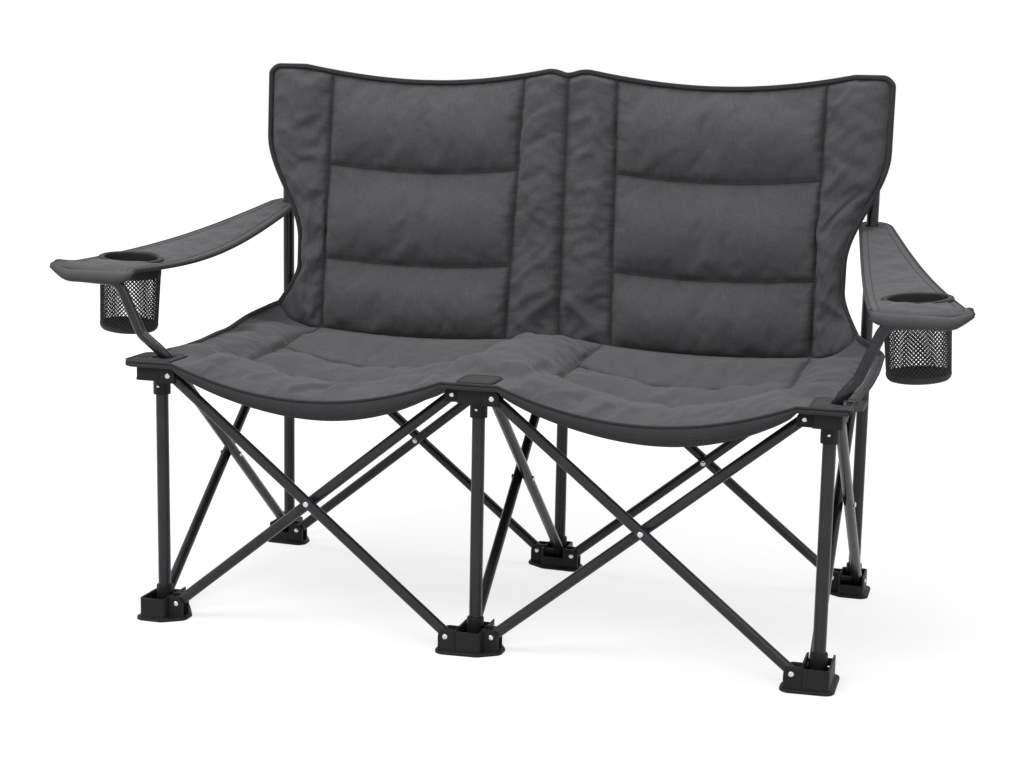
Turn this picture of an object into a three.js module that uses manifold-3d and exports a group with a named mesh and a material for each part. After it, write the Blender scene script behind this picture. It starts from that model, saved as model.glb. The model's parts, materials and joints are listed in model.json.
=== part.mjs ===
// Folding camping loveseat: two padded bucket seats on a frame of seven scissor pairs.
// Millimetres, +Z up. X runs to the viewer's right, Y runs away from the viewer.
// The origin lies on the floor, under the middle of the frame.

import * as THREE from 'three';
import { mergeVertices } from 'three/addons/utils/BufferGeometryUtils.js';
import Module from 'manifold-3d';

const wasm = await Module();
wasm.setup();

// Driving dimensions of the frame.
const BAY = 500;               // between neighbouring columns of posts
const PIVOT_X = 32;            // front and rear brace pins, from the post axis towards the bay
const PIVOT_Y = 26;            // side brace pins, from the post axis towards the middle
const RISE = 354;              // from the foot pins up to the hub pins
const PIN_Z = 25;              // height of the foot pins
const POST_R = 9.5;
const BRACE_R = 8;
const POST_WALL = 1.2;
const BRACE_WALL = 1.1;
const BRACE_OVERRUN = 7.5;     // brace end past its pin
const PIN_R = 2.4;
const PIN_HOLE_R = 2.9;
const LAYER = 17;              // between the two tubes of a scissor pair
const FACE_Y = 25;             // scissor planes of the bays, in front of the post axes
const FIT = 0.3;               // gap between pieces that touch
const SLIDE = 0.6;             // gap between a slider and its post

// Feet and hubs.
const PLATE = 6;               // foot flange
const CUP_TOP = 34;
const CUP_HALF = 20.5;
const WALL = 3;
const EAR_R = 11;
const EAR_PLATE = 3.5;
const SPACER_R = 6;
const FLANGE = 2;              // flange past the foot's walls
const SLEEVE_R = 12.5;
const SLEEVE_TOP = 46;
const HUB_TOP = 13;            // hub wall above its pins
const HUB_FLOOR = 9;           // hub floor below its pins
const HUB_SOCKET = 27;         // collar below the hub floor
const SLIDER_R = 14;

// Arm tube, past the front hub: distances out from the column, from the front post and from the floor.
const ARM_KNEE_Z = 402;
const ARM_SHOULDER = [34, 2, 432];
const ARM_ELBOW = [67, -5, 511];
const ARM_END = [150, -6, 515];
const ARM_BEND_R = 26;

// Cloth.
const BACK_BOTTOM = 392;       // at the posts
const BACK_DIP = 10;           // lower edge drops this far between the posts
const BACK_TOP = 812;          // top edge in the middle of a half
const BACK_CORNER = 22;        // rise of the top edge at the posts
const BACK_NOTCH = 8;
const POST_BELOW_EDGE = 26;    // rear post's top below the back's upper corner
const SEAM_1 = 655;
const SEAM_2 = 503;
const SEAM_INNER = 78;
const SEAM_OUTER = 418;
const CREASE_Y = 46;           // back's lower edge, in front of the rear posts
const SEAT_GAP = 17;           // seat's rear edge in front of that
const PATCH_T = 6;             // flat patches of the seat, over the hubs
const PATCH_REACH = 67;        // flat this far to each side of a column
const SEAT_DIP = 48;           // dip of the front edge between the hubs
const SEAT_SAG = 24;           // further sag of each bucket
const SEAT_FRONT = 50;         // front edge in front of the front posts
const SEAT_FLARE = 22;         // front corner past the outer column
const SEAT_TUCK = 22;          // rear corner inside the outer column
const FRONT_ROLL = 70;         // front edge to the first cross seam
const CUSHION = 130;           // first to second cross seam
const SLOT_FRONT = 26;         // slot for the arm tube, in front of the front posts
const SEAT_REAR_PANEL = 105;   // crease to cross seam
const ARMREST_REAR_Z = 598;
const ARMREST_FOLD = 200;      // rear post to the armrest's fold
const ARMREST_TAIL = 26;       // armrest behind the rear posts
const ARMREST_SAG = 28;        // sag of the inner edge between the rear post and the arm tube
const ARMREST_TAUT = 0.5;      // share of it that the outer edge is spared
const ARMREST_TIP = 11;        // rise of the outer front corner
const RING = [100, 98];        // cup centre: out from the column, behind the front post
const RING_R = 50;
const RING_LIFT = 2.6;         // ring flange above the sagging cloth
const RING_HOLE_R = 41;
const RING_NECK_R = 44;
const CUP_R = 47;
const CUP_DEPTH = 100;
const CUP_WALL = 1.4;

// Worked out from those.
const REACH = BAY - 2 * PIVOT_X;
const DEPTH = REACH + 2 * PIVOT_Y;
const MIDDLE_Y = (SEAT_FRONT - ARMREST_TAIL) / 2;   // between the rows of posts, so that the whole chair is centred
const FRONT = MIDDLE_Y - DEPTH / 2;
const REAR = MIDDLE_Y + DEPTH / 2;
const REAR_POST_TOP = BACK_TOP + BACK_CORNER - POST_BELOW_EDGE;
const HUB_Z = PIN_Z + RISE;
const FLOOR_Z = HUB_Z - HUB_FLOOR;
const SEAT_HANG = HUB_Z + HUB_TOP + FIT + PATCH_T / 2;
const EAR_FRONT = -FACE_Y - LAYER / 2 - BRACE_R - FIT - EAR_PLATE;
const COLUMNS = [['left', -BAY], ['centre', 0], ['right', BAY]];

const material = (color, roughness, metalness) =>
  new THREE.MeshStandardMaterial({ color, roughness, metalness });
const STEEL = material(0x3c3d40, 0.45, 0.55);
const PLASTIC = material(0x17181a, 0.5, 0.0);
const RIVET = material(0xb9bbbd, 0.3, 0.9);
const CLOTH = material(0x47484c, 0.95, 0.0);
const NET = material(0x141517, 0.8, 0.0);

const part = new THREE.Group();

function addPiece(name, geometry, look) {
  const mesh = new THREE.Mesh(geometry, look);
  mesh.name = name;
  part.add(mesh);
}

// Solids: a closed geometry to a solid, and back.
function solid(geometry) {
  const bare = geometry.clone();
  bare.deleteAttribute('normal');
  bare.deleteAttribute('uv');
  const merged = mergeVertices(bare, 1e-4);
  return new wasm.Manifold(new wasm.Mesh({
    numProp: 3,
    vertProperties: new Float32Array(merged.attributes.position.array),
    triVerts: new Uint32Array(merged.index.array),
  }));
}

function geometryOf(body) {
  const mesh = body.getMesh();
  const geometry = new THREE.BufferGeometry();
  const width = mesh.numProp;
  const count = mesh.vertProperties.length / width;
  const points = new Float32Array(count * 3);
  for (let i = 0; i < count; i += 1) {
    points.set(mesh.vertProperties.subarray(i * width, i * width + 3), i * 3);
  }
  geometry.setAttribute('position', new THREE.BufferAttribute(points, 3));
  geometry.setIndex(Array.from(mesh.triVerts));
  geometry.computeVertexNormals();
  return geometry;
}

const joinAll = (list) => list.reduce((whole, piece) => whole.add(piece));
const cutAll = (body, list) => list.reduce((whole, piece) => whole.subtract(piece), body);

// Simple shapes, placed by their limits.
function box(x, y, z) {
  const geometry = new THREE.BoxGeometry(x[1] - x[0], y[1] - y[0], z[1] - z[0]);
  geometry.translate((x[0] + x[1]) / 2, (y[0] + y[1]) / 2, (z[0] + z[1]) / 2);
  return solid(geometry);
}

function ringShape(outer, inner) {
  const shape = new THREE.Shape().absarc(0, 0, outer, 0, 2 * Math.PI);
  if (inner > 0) {
    shape.holes.push(new THREE.Path().absarc(0, 0, inner, 0, 2 * Math.PI, true));
  }
  return shape;
}

function upright(shape, z, curveSegments = 6) {
  const geometry = new THREE.ExtrudeGeometry(shape, {
    depth: z[1] - z[0], bevelEnabled: false, curveSegments,
  });
  return geometry.translate(0, 0, z[0]);
}

// A rod along X or Y between two limits.
function rodX(radius, x, y, z, sides = 10) {
  const geometry = new THREE.CylinderGeometry(radius, radius, x[1] - x[0], sides);
  geometry.rotateZ(Math.PI / 2);
  return solid(geometry.translate((x[0] + x[1]) / 2, y, z));
}

function rodY(radius, x, y, z, sides = 10) {
  const geometry = new THREE.CylinderGeometry(radius, radius, y[1] - y[0], sides);
  return solid(geometry.translate(x, (y[0] + y[1]) / 2, z));
}

function roundedRect(x, y, radius) {
  const shape = new THREE.Shape();
  shape.moveTo(x[0] + radius, y[0]);
  shape.lineTo(x[1] - radius, y[0]);
  shape.absarc(x[1] - radius, y[0] + radius, radius, -Math.PI / 2, 0);
  shape.lineTo(x[1], y[1] - radius);
  shape.absarc(x[1] - radius, y[1] - radius, radius, 0, Math.PI / 2);
  shape.lineTo(x[0] + radius, y[1]);
  shape.absarc(x[0] + radius, y[1] - radius, radius, Math.PI / 2, Math.PI);
  shape.lineTo(x[0], y[0] + radius);
  shape.absarc(x[0] + radius, y[0] + radius, radius, Math.PI, 1.5 * Math.PI);
  return shape;
}

// An ear: a plate in the XZ plane, rounded over its pin, from a wall out to the pin at PIVOT_X.
function earPlate(side, y, bottom, pinZ) {
  const root = CUP_HALF - WALL;
  const shape = new THREE.Shape();
  shape.moveTo(root, bottom);
  shape.lineTo(PIVOT_X + EAR_R, bottom);
  shape.lineTo(PIVOT_X + EAR_R, pinZ);
  shape.absarc(PIVOT_X, pinZ, EAR_R, 0, Math.PI / 2);
  shape.lineTo(root, pinZ + EAR_R);
  shape.closePath();
  const geometry = new THREE.ExtrudeGeometry(shape, {
    depth: y[1] - y[0], bevelEnabled: false, curveSegments: 2,
  });
  geometry.rotateX(Math.PI / 2);
  geometry.translate(0, y[1], 0);
  if (side < 0) {
    geometry.rotateZ(Math.PI);
    geometry.translate(0, y[0] + y[1], 0);
  }
  return solid(geometry);
}

// Limits in Y of the ear that holds a tube of one layer.
function earLimits(layer) {
  const middle = (layer === 'front' ? -1 : 1) * LAYER / 2 - FACE_Y;
  const half = BRACE_R + FIT + EAR_PLATE;
  return [middle - half, middle + half];
}

// Both plates of an ear, close to their tube, with its pin.
function ear(side, layer, bottom, pinZ) {
  const [front, back] = earLimits(layer);
  return [
    earPlate(side, [front, front + EAR_PLATE], bottom, pinZ),
    earPlate(side, [back - EAR_PLATE, back], bottom, pinZ),
    rodY(PIN_R, side * PIVOT_X, [front + 1, back - 1], pinZ, 6),
  ];
}

// The pin of a side brace, across the walls, with a spacer in the layer without a tube.
function sidePin(tubeSide, y, z) {
  const inner = CUP_HALF - 1;
  const spacer = tubeSide > 0 ? [-inner, -FIT] : [FIT, inner];
  return [rodX(PIN_R, [-inner, inner], y, z, 6), rodX(SPACER_R, spacer, y, z, 8)];
}

// Walls of a foot, hub or slider: a rounded box without floor or roof.
function walls(y, z) {
  const outer = roundedRect([-CUP_HALF, CUP_HALF], y, 6);
  const inner = roundedRect([WALL - CUP_HALF, CUP_HALF - WALL], [y[0] + WALL, y[1] - WALL], 3);
  outer.holes.push(new THREE.Path(inner.getPoints(1).reverse()));
  return solid(upright(outer, z, 2));
}

const innerHalf = CUP_HALF - WALL;

// Which layer holds the brace end at a foot or a hub, on the side of each bay.
// In front the tube that falls to the right lies in the front layer, behind it is the other.
function layerOf(row, level, side) {
  const fallsRight = (level === 'low') === (side < 0);
  const inFront = row === 'front' ? fallsRight : !fallsRight;
  return inFront ? 'front' : 'rear';
}

// Sides on which a column has a bay.
const baysAt = (x) => [-1, 1].filter((side) => Math.abs(x + side * BAY) <= BAY);

function earsOf(row, level, x, bottom, pinZ) {
  return baysAt(x).flatMap((side) => ear(side, layerOf(row, level, side), bottom, pinZ));
}

// Foot: flanged plate, open cup round the post's sleeve and the side brace, and ears.
function foot(row, x) {
  const back = row === 'front' ? PIVOT_Y + 9 : SLEEVE_R + 5;
  const half = CUP_HALF + FLANGE;
  const reach = PIVOT_X + EAR_R + FLANGE;
  const plate = (xs, ys) => solid(upright(roundedRect(xs, [ys[0] - FLANGE, ys[1] + FLANGE], 9), [0, PLATE], 3));
  const underEar = (side) => plate(side > 0 ? [-half, reach] : [-reach, half], earLimits(layerOf(row, 'low', side)));
  const body = joinAll([
    plate([-half, half], [EAR_FRONT, back]),
    ...baysAt(x).map(underEar),
    walls([EAR_FRONT, back], [1, CUP_TOP]),
    ...earsOf(row, 'low', x, 1, PIN_Z),
  ]);
  const notch = row === 'front'
    ? box([-innerHalf, innerHalf], [PIVOT_Y + 4, back + 1], [PIN_Z - 10, CUP_TOP + 1])
    : box([-innerHalf, innerHalf], [EAR_FRONT - 1, -PIVOT_Y - 8], [PIN_Z - 5, CUP_TOP + 1]);
  const pinY = row === 'front' ? PIVOT_Y : -PIVOT_Y;
  const tubeSide = row === 'front' ? -1 : 1;
  return joinAll([body.subtract(notch), ...sidePin(tubeSide, pinY, PIN_Z)]);
}

// Rounded cheek in the YZ plane, from y = 0 to the side brace's pin.
function cheek(side, pinY, z) {
  const shape = new THREE.Shape();
  const reach = Math.abs(pinY);
  shape.moveTo(0, z - HUB_FLOOR);
  shape.lineTo(reach, z - HUB_FLOOR);
  shape.absarc(reach, z, HUB_FLOOR, -Math.PI / 2, Math.PI / 2);
  shape.lineTo(0, z + HUB_FLOOR);
  shape.closePath();
  const geometry = new THREE.ExtrudeGeometry(shape, { depth: WALL, bevelEnabled: false, curveSegments: 3 });
  geometry.rotateX(Math.PI / 2);
  geometry.rotateZ(Math.PI / 2 * Math.sign(pinY));
  const low = side > 0 ? innerHalf : -CUP_HALF;
  return solid(geometry.translate(pinY > 0 ? low : low + WALL, 0, 0));
}

// Front hub: open box on the post's top, with a collar below and cheeks for the side brace.
function frontHub(x) {
  const back = SLEEVE_R;
  const body = joinAll([
    walls([EAR_FRONT, back], [FLOOR_Z, HUB_Z + HUB_TOP]),
    box([-CUP_HALF + 1, CUP_HALF - 1], [EAR_FRONT + 1, back - 1], [FLOOR_Z, FLOOR_Z + 4]),
    solid(upright(ringShape(SLEEVE_R + 0.5, POST_R + FIT), [FLOOR_Z - HUB_SOCKET, FLOOR_Z + 1])),
    ...earsOf('front', 'high', x, HUB_Z - EAR_R, HUB_Z),
  ]);
  const tunnel = box([-innerHalf, innerHalf], [back - WALL - 1, back + 1], [FLOOR_Z + 4, HUB_Z + HUB_TOP + 1]);
  return joinAll([
    body.subtract(tunnel),
    cheek(-1, PIVOT_Y, HUB_Z),
    cheek(1, PIVOT_Y, HUB_Z),
    ...sidePin(1, PIVOT_Y, HUB_Z),
  ]);
}

// Rear slider: sleeve that runs on the tall post, with the same ears and cheeks.
function rearSlider(x) {
  const bore = solid(upright(ringShape(POST_R + SLIDE, 0), [FLOOR_Z - 30, HUB_Z + 40]));
  const sleeve = solid(upright(ringShape(SLIDER_R, 0), [FLOOR_Z - 8, HUB_Z + HUB_TOP - 3]));
  const side = (s) => box(
    s > 0 ? [innerHalf, CUP_HALF] : [-CUP_HALF, -innerHalf],
    [EAR_FRONT, SLEEVE_R],
    [FLOOR_Z, HUB_Z + EAR_R],
  );
  const body = joinAll([
    sleeve,
    side(-1),
    side(1),
    box([-CUP_HALF + 1, CUP_HALF - 1], [-SLEEVE_R + 1, SLEEVE_R], [FLOOR_Z, FLOOR_Z + 5]),
    box([-CUP_HALF + 1, CUP_HALF - 1], [SLEEVE_R - 3, SLEEVE_R], [FLOOR_Z, HUB_Z + EAR_R]),
    ...earsOf('rear', 'high', x, HUB_Z - EAR_R, HUB_Z),
    ...sidePin(-1, -PIVOT_Y, HUB_Z),
  ]);
  return body.subtract(bore);
}

// Tubes.
function tubeAlong(from, to, radius, wall) {
  const axis = new THREE.Vector3().subVectors(to, from);
  const geometry = upright(ringShape(radius, radius - wall), [0, axis.length()]);
  geometry.applyQuaternion(new THREE.Quaternion().setFromUnitVectors(
    new THREE.Vector3(0, 0, 1), axis.clone().normalize()));
  return solid(geometry.translate(from.x, from.y, from.z));
}

// A path of straights and round bends, seen by the extrusion only at the stations it needs.
class BentPath extends THREE.Curve {
  constructor(corners, radius) {
    super();
    this.stations = [];
    const last = corners.length - 1;
    corners.forEach((corner, i) => {
      if (i === 0 || i === last) {
        const towards = i === 0 ? corners[1].clone().sub(corner) : corner.clone().sub(corners[i - 1]);
        this.stations.push([corner, towards.normalize()]);
        return;
      }
      const a = corner.clone().sub(corners[i - 1]).normalize();
      const b = corners[i + 1].clone().sub(corner).normalize();
      const turn = a.angleTo(b);
      const start = corner.clone().addScaledVector(a, -radius * Math.tan(turn / 2));
      const inward = b.clone().addScaledVector(a, -a.dot(b)).normalize();
      const steps = 3;
      for (let k = 0; k <= steps; k += 1) {
        const angle = turn * k / steps;
        const point = start.clone()
          .addScaledVector(a, radius * Math.sin(angle))
          .addScaledVector(inward, radius * (1 - Math.cos(angle)));
        const tangent = a.clone().multiplyScalar(Math.cos(angle)).addScaledVector(inward, Math.sin(angle));
        this.stations.push([point, tangent]);
      }
    });
  }

  at(u) {
    return this.stations[Math.round(u * (this.stations.length - 1))];
  }

  getPoint(u) {
    return this.at(u)[0].clone();
  }

  getPointAt(u) {
    return this.getPoint(u);
  }

  getTangentAt(u) {
    return this.at(u)[1].clone();
  }
}

function bentTube(corners, bendRadius, radius, wall) {
  const path = new BentPath(corners, bendRadius);
  const geometry = new THREE.ExtrudeGeometry(ringShape(radius, radius - wall), {
    steps: path.stations.length - 1, extrudePath: path, curveSegments: 6,
  });
  return solid(geometry);
}

const along = (from, to, t) => new THREE.Vector3().lerpVectors(from, to, t);

function pastEnd(pin, other) {
  const axis = new THREE.Vector3().subVectors(pin, other).normalize();
  return pin.clone().addScaledVector(axis, BRACE_OVERRUN);
}

function bayBrace(low, high) {
  const tube = tubeAlong(pastEnd(low, high), pastEnd(high, low), BRACE_R, BRACE_WALL);
  const hole = (p) => rodY(PIN_HOLE_R, p.x, [p.y - BRACE_R - 2, p.y + BRACE_R + 2], p.z, 6);
  return cutAll(tube, [low, along(low, high, 0.5), high].map(hole));
}

const holeX = (p) => rodX(PIN_HOLE_R, [p.x - BRACE_R - 2, p.x + BRACE_R + 2], p.y, p.z, 6);

function sideBrace(low, high) {
  const tube = tubeAlong(pastEnd(low, high), pastEnd(high, low), BRACE_R, BRACE_WALL);
  return cutAll(tube, [low, along(low, high, 0.5), high].map(holeX));
}

// The outer side brace runs on past the hub, through the seat corner and up to the armrest's front.
function armBrace(low, high, column) {
  const outward = Math.sign(column);
  const knee = along(low, high, (ARM_KNEE_Z - low.z) / (high.z - low.z));
  const place = ([out, y, z]) => new THREE.Vector3(column + outward * out, FRONT + y, z);
  const corners = [pastEnd(low, high), knee, place(ARM_SHOULDER), place(ARM_ELBOW), place(ARM_END)];
  const tube = bentTube(corners, ARM_BEND_R, BRACE_R, BRACE_WALL);
  return cutAll(tube, [low, along(low, high, 0.5), high].map(holeX));
}

// Rivet: a pin through both tubes of a scissor pair with a domed head at each end, along Z.
function rivet() {
  const half = LAYER / 2 + BRACE_R + FIT;
  const head = 5;
  const profile = [
    [0, -half - 2.4], [head * 0.7, -half - 1.8], [head, -half],
    [PIN_R, -half], [PIN_R, half], [head, half], [head * 0.7, half + 1.8], [0, half + 2.4],
  ];
  return new THREE.LatheGeometry(profile.map(([r, z]) => new THREE.Vector2(r, z)), 8);
}

// Frame: columns.
for (const [name, x] of COLUMNS) {
  const atFront = (body) => geometryOf(body).translate(x, FRONT, 0);
  const atRear = (body) => geometryOf(body).translate(x, REAR, 0);
  const postTube = (top) => solid(upright(ringShape(POST_R, POST_R - POST_WALL), [PLATE + FIT, top]));
  const sleeve = () => solid(upright(ringShape(SLEEVE_R, POST_R + FIT), [PLATE + FIT, SLEEVE_TOP]));
  addPiece(`foot_front_${name}`, atFront(foot('front', x)), PLASTIC);
  addPiece(`foot_rear_${name}`, atRear(foot('rear', x)), PLASTIC);
  addPiece(`post_front_${name}`, atFront(postTube(FLOOR_Z - FIT)), STEEL);
  addPiece(`post_rear_${name}`, atRear(postTube(REAR_POST_TOP)), STEEL);
  addPiece(`sleeve_front_${name}`, atFront(sleeve()), PLASTIC);
  addPiece(`sleeve_rear_${name}`, atRear(sleeve()), PLASTIC);
  addPiece(`hub_front_${name}`, atFront(frontHub(x)), PLASTIC);
  addPiece(`slider_rear_${name}`, atRear(rearSlider(x)), PLASTIC);
  const bore = POST_R - POST_WALL - FIT;
  const cap = new THREE.LatheGeometry([
    [0, -14], [bore, -14], [bore, FIT], [POST_R + 1, FIT], [POST_R + 1, 5], [POST_R * 0.7, 9], [0, 10],
  ].map(([r, z]) => new THREE.Vector2(r, z)), 12);
  cap.rotateX(Math.PI / 2);
  addPiece(`cap_rear_${name}`, cap.translate(x, REAR, REAR_POST_TOP), PLASTIC);
}

// Frame: scissor pairs of the bays. Each tube runs from a foot of one column to the hub of the other.
const layerY = (layer) => (layer === 'front' ? -1 : 1) * LAYER / 2 - FACE_Y;
for (const [row, y0] of [['front', FRONT], ['rear', REAR]]) {
  for (const [bay, x0] of [['left', -BAY], ['right', 0]]) {
    const x1 = x0 + BAY;
    const yFall = y0 + layerY(layerOf(row, 'high', 1));
    const yClimb = y0 + layerY(layerOf(row, 'low', 1));
    const highLeft = new THREE.Vector3(x0 + PIVOT_X, yFall, HUB_Z);
    const lowRight = new THREE.Vector3(x1 - PIVOT_X, yFall, PIN_Z);
    const lowLeft = new THREE.Vector3(x0 + PIVOT_X, yClimb, PIN_Z);
    const highRight = new THREE.Vector3(x1 - PIVOT_X, yClimb, HUB_Z);
    addPiece(`brace_${row}_${bay}_fall`, geometryOf(bayBrace(lowRight, highLeft)), STEEL);
    addPiece(`brace_${row}_${bay}_climb`, geometryOf(bayBrace(lowLeft, highRight)), STEEL);
    const middle = along(lowLeft, highRight, 0.5);
    addPiece(`rivet_${row}_${bay}`, rivet().translate(middle.x, y0 - FACE_Y, middle.z), RIVET);
  }
}

// Frame: scissor pairs of the sides.
for (const [name, x] of COLUMNS) {
  const xArm = x + LAYER / 2;
  const xPlain = x - LAYER / 2;
  const lowRear = new THREE.Vector3(xArm, REAR - PIVOT_Y, PIN_Z);
  const highFront = new THREE.Vector3(xArm, FRONT + PIVOT_Y, HUB_Z);
  const lowFront = new THREE.Vector3(xPlain, FRONT + PIVOT_Y, PIN_Z);
  const highRear = new THREE.Vector3(xPlain, REAR - PIVOT_Y, HUB_Z);
  const first = x === 0 ? sideBrace(lowRear, highFront) : armBrace(lowRear, highFront, x);
  addPiece(x === 0 ? 'brace_side_centre_arm' : `arm_tube_${name}`, geometryOf(first), STEEL);
  addPiece(`brace_side_${name}`, geometryOf(sideBrace(lowFront, highRear)), STEEL);
  const across = rivet().rotateZ(Math.PI / 2);
  addPiece(`rivet_side_${name}`, across.translate(x, MIDDLE_Y, (PIN_Z + HUB_Z) / 2), RIVET);
}

// Cloth. A padded sheet is a grid of stations with a middle surface and a thickness at each.
function paddedSheet(us, vs, place, thickness) {
  const rows = us.length;
  const cols = vs.length;
  const points = [];
  const step = 1e-3;
  const normalAt = (u, v) => {
    const du = place(u + step, v).sub(place(u - step, v));
    const dv = place(u, v + step).sub(place(u, v - step));
    return du.cross(dv).normalize();
  };
  for (const side of [1, -1]) {
    for (const u of us) {
      for (const v of vs) {
        points.push(place(u, v).addScaledVector(normalAt(u, v), side * thickness(u, v) / 2));
      }
    }
  }
  const index = [];
  const top = (i, j) => i * cols + j;
  const low = (i, j) => rows * cols + i * cols + j;
  const quad = (a, b, c, d) => index.push(a, b, c, a, c, d);
  for (let i = 0; i + 1 < rows; i += 1) {
    for (let j = 0; j + 1 < cols; j += 1) {
      quad(top(i, j), top(i + 1, j), top(i + 1, j + 1), top(i, j + 1));
      quad(low(i, j), low(i, j + 1), low(i + 1, j + 1), low(i + 1, j));
    }
    quad(top(i, 0), low(i, 0), low(i + 1, 0), top(i + 1, 0));
    quad(top(i, cols - 1), top(i + 1, cols - 1), low(i + 1, cols - 1), low(i, cols - 1));
  }
  for (let j = 0; j + 1 < cols; j += 1) {
    quad(top(0, j), top(0, j + 1), low(0, j + 1), low(0, j));
    quad(top(rows - 1, j), low(rows - 1, j), low(rows - 1, j + 1), top(rows - 1, j + 1));
  }
  const geometry = new THREE.BufferGeometry();
  geometry.setAttribute('position', new THREE.Float32BufferAttribute(points.flatMap((p) => p.toArray()), 3));
  geometry.setIndex(index);
  geometry.computeVertexNormals();
  return geometry;
}

// Stations between seams, closer together near each seam.
function stations(seams, between) {
  const list = [seams[0]];
  for (let i = 0; i + 1 < seams.length; i += 1) {
    for (let k = 1; k <= between; k += 1) {
      const share = (1 - Math.cos(Math.PI * k / between)) / 2;
      list.push(seams[i] + (seams[i + 1] - seams[i]) * share);
    }
  }
  return list;
}

// Swell of the padding between two seams: 0 on a seam, 1 in the middle.
function swell(value, seams) {
  const i = Math.max(seams.findIndex((s, k) => k > 0 && value <= s + 1e-6), 1);
  const middle = (seams[i] + seams[i - 1]) / 2;
  const half = (seams[i] - seams[i - 1]) / 2;
  return Math.sqrt(Math.max(0, 1 - ((value - middle) / half) ** 2));
}

const smooth = THREE.MathUtils.smoothstep;
const mix = THREE.MathUtils.lerp;

// 0 at a column of posts, 1 in the middle of a bay.
const bayShare = (x) => Math.max(0, 1 - ((Math.abs(x) - BAY / 2) / (BAY / 2)) ** 2);

// The same, but level over the hubs.
function slingShare(x) {
  const t = THREE.MathUtils.clamp((Math.abs(x) - PATCH_REACH) / (BAY - 2 * PATCH_REACH), 0, 1);
  return 4 * t * (1 - t);
}

const EDGE = BAY + 24;         // cloth edge at the top of the back
const acrossSeams = [-EDGE, -SEAM_OUTER, -SEAM_INNER, 0, SEAM_INNER, SEAM_OUTER, EDGE];

// Back: u is the distance across at full width, v is height from 0 to 1.
function backPanel() {
  const waist = (z) => {
    const intoWaist = smooth(z, 540, 716);
    const flare = 1 - smooth(z, BACK_BOTTOM, 470);
    return mix(BAY - 36, EDGE, intoWaist) + 14 * flare;
  };
  const topEdge = (x) => {
    const toPost = 1 - bayShare(x);
    return BACK_TOP + BACK_CORNER * toPost ** 1.5 - BACK_NOTCH * Math.exp(-((x / 16) ** 2));
  };
  const place = (u, v) => {
    const z = mix(BACK_BOTTOM - BACK_DIP * slingShare(u), topEdge(u), v);
    const side = Math.max(0, Math.abs(u) - SEAM_OUTER) / (EDGE - SEAM_OUTER);
    const x = u - Math.sign(u) * side * (EDGE - waist(z));
    const lean = mix(-CREASE_Y, -POST_R - 9, v);
    const hang = 34 * bayShare(u) * smooth(v, 0.1, 1);
    return new THREE.Vector3(x, REAR + lean + hang, z);
  };
  const channels = [0, SEAM_2, SEAM_1].map((z, i) => (i === 0 ? 0 : (z - BACK_BOTTOM) / (BACK_TOP - BACK_BOTTOM)));
  channels.push(1);
  const thickness = (u, v) => {
    const inChannels = Math.abs(u) > SEAM_INNER && Math.abs(u) < SEAM_OUTER;
    const pad = swell(u, acrossSeams) * swell(v, inChannels ? channels : [0, 1]);
    return 7 + (inChannels ? 24 : 15) * Math.sqrt(pad);
  };
  return paddedSheet(stations(acrossSeams, 4), stations(channels, 4), place, thickness);
}

// Seat surface by plan position: hung from the hubs, dipped between them, sagging inside.
const SEAT_BACK_Y = REAR - CREASE_Y - SEAT_GAP;
const SEAT_FRONT_Y = FRONT - SEAT_FRONT;
const SEAM_Y = SEAT_BACK_Y - SEAT_REAR_PANEL;
function seatPoint(u, y) {
  const toFront = (SEAT_BACK_Y - y) / (SEAT_BACK_Y - SEAT_FRONT_Y);
  const edge = mix(BAY - SEAT_TUCK, BAY + SEAT_FLARE, smooth(toFront, 0, 1));
  const side = Math.max(0, Math.abs(u) - SEAM_OUTER) / (EDGE - SEAM_OUTER);
  const x = u + Math.sign(u) * side * (edge - EDGE);
  const wing = 48 * side ** 1.6 * (1 - smooth(toFront, 0, 0.85));
  const dip = slingShare(u) * mix(BACK_DIP + 4, SEAT_DIP, smooth(toFront, 0, 1));
  const sag = SEAT_SAG * slingShare(u) * Math.sin(Math.PI * Math.min(toFront, 1));
  const z = SEAT_HANG - dip - sag + wing;
  return new THREE.Vector3(x, y, z);
}

function seatPanel(ySeams) {
  const thickness = (u, y) => {
    const fromColumn = Math.min(Math.abs(u), Math.abs(Math.abs(u) - BAY));
    const overHub = 1 - smooth(fromColumn, PATCH_REACH, 1.4 * PATCH_REACH);
    const patch = overHub * (1 - smooth(y - FRONT, PATCH_REACH, 1.8 * PATCH_REACH));
    const padded = 8 + 16 * Math.sqrt(swell(u, acrossSeams) * swell(y, ySeams));
    return mix(padded, PATCH_T, patch);
  };
  return paddedSheet(stations(acrossSeams, 4), stations(ySeams, 4), seatPoint, thickness);
}

// Slots in the seat corners, where the arm tubes come through.
const slots = [-BAY, BAY].map((column) => {
  const x = column + LAYER / 2;
  const outward = Math.sign(column) * ARM_SHOULDER[0];
  const low = Math.min(x, column + outward * 0.7) - BRACE_R - 4;
  const high = Math.max(x, column + outward * 0.7) + BRACE_R + 4;
  return box([low, high], [FRONT - SLOT_FRONT, FRONT + PIVOT_Y + 14], [HUB_Z, SEAT_HANG + SEAT_DIP]);
});
const frontSeams = [SEAT_FRONT_Y, SEAT_FRONT_Y + FRONT_ROLL, SEAT_FRONT_Y + FRONT_ROLL + CUSHION, SEAM_Y - FIT];

addPiece('back_panel', backPanel(), CLOTH);
addPiece('seat_rear', seatPanel([SEAM_Y + FIT, SEAT_BACK_Y]), CLOTH);
addPiece('seat_front', geometryOf(cutAll(solid(seatPanel(frontSeams)), slots)), CLOTH);

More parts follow.
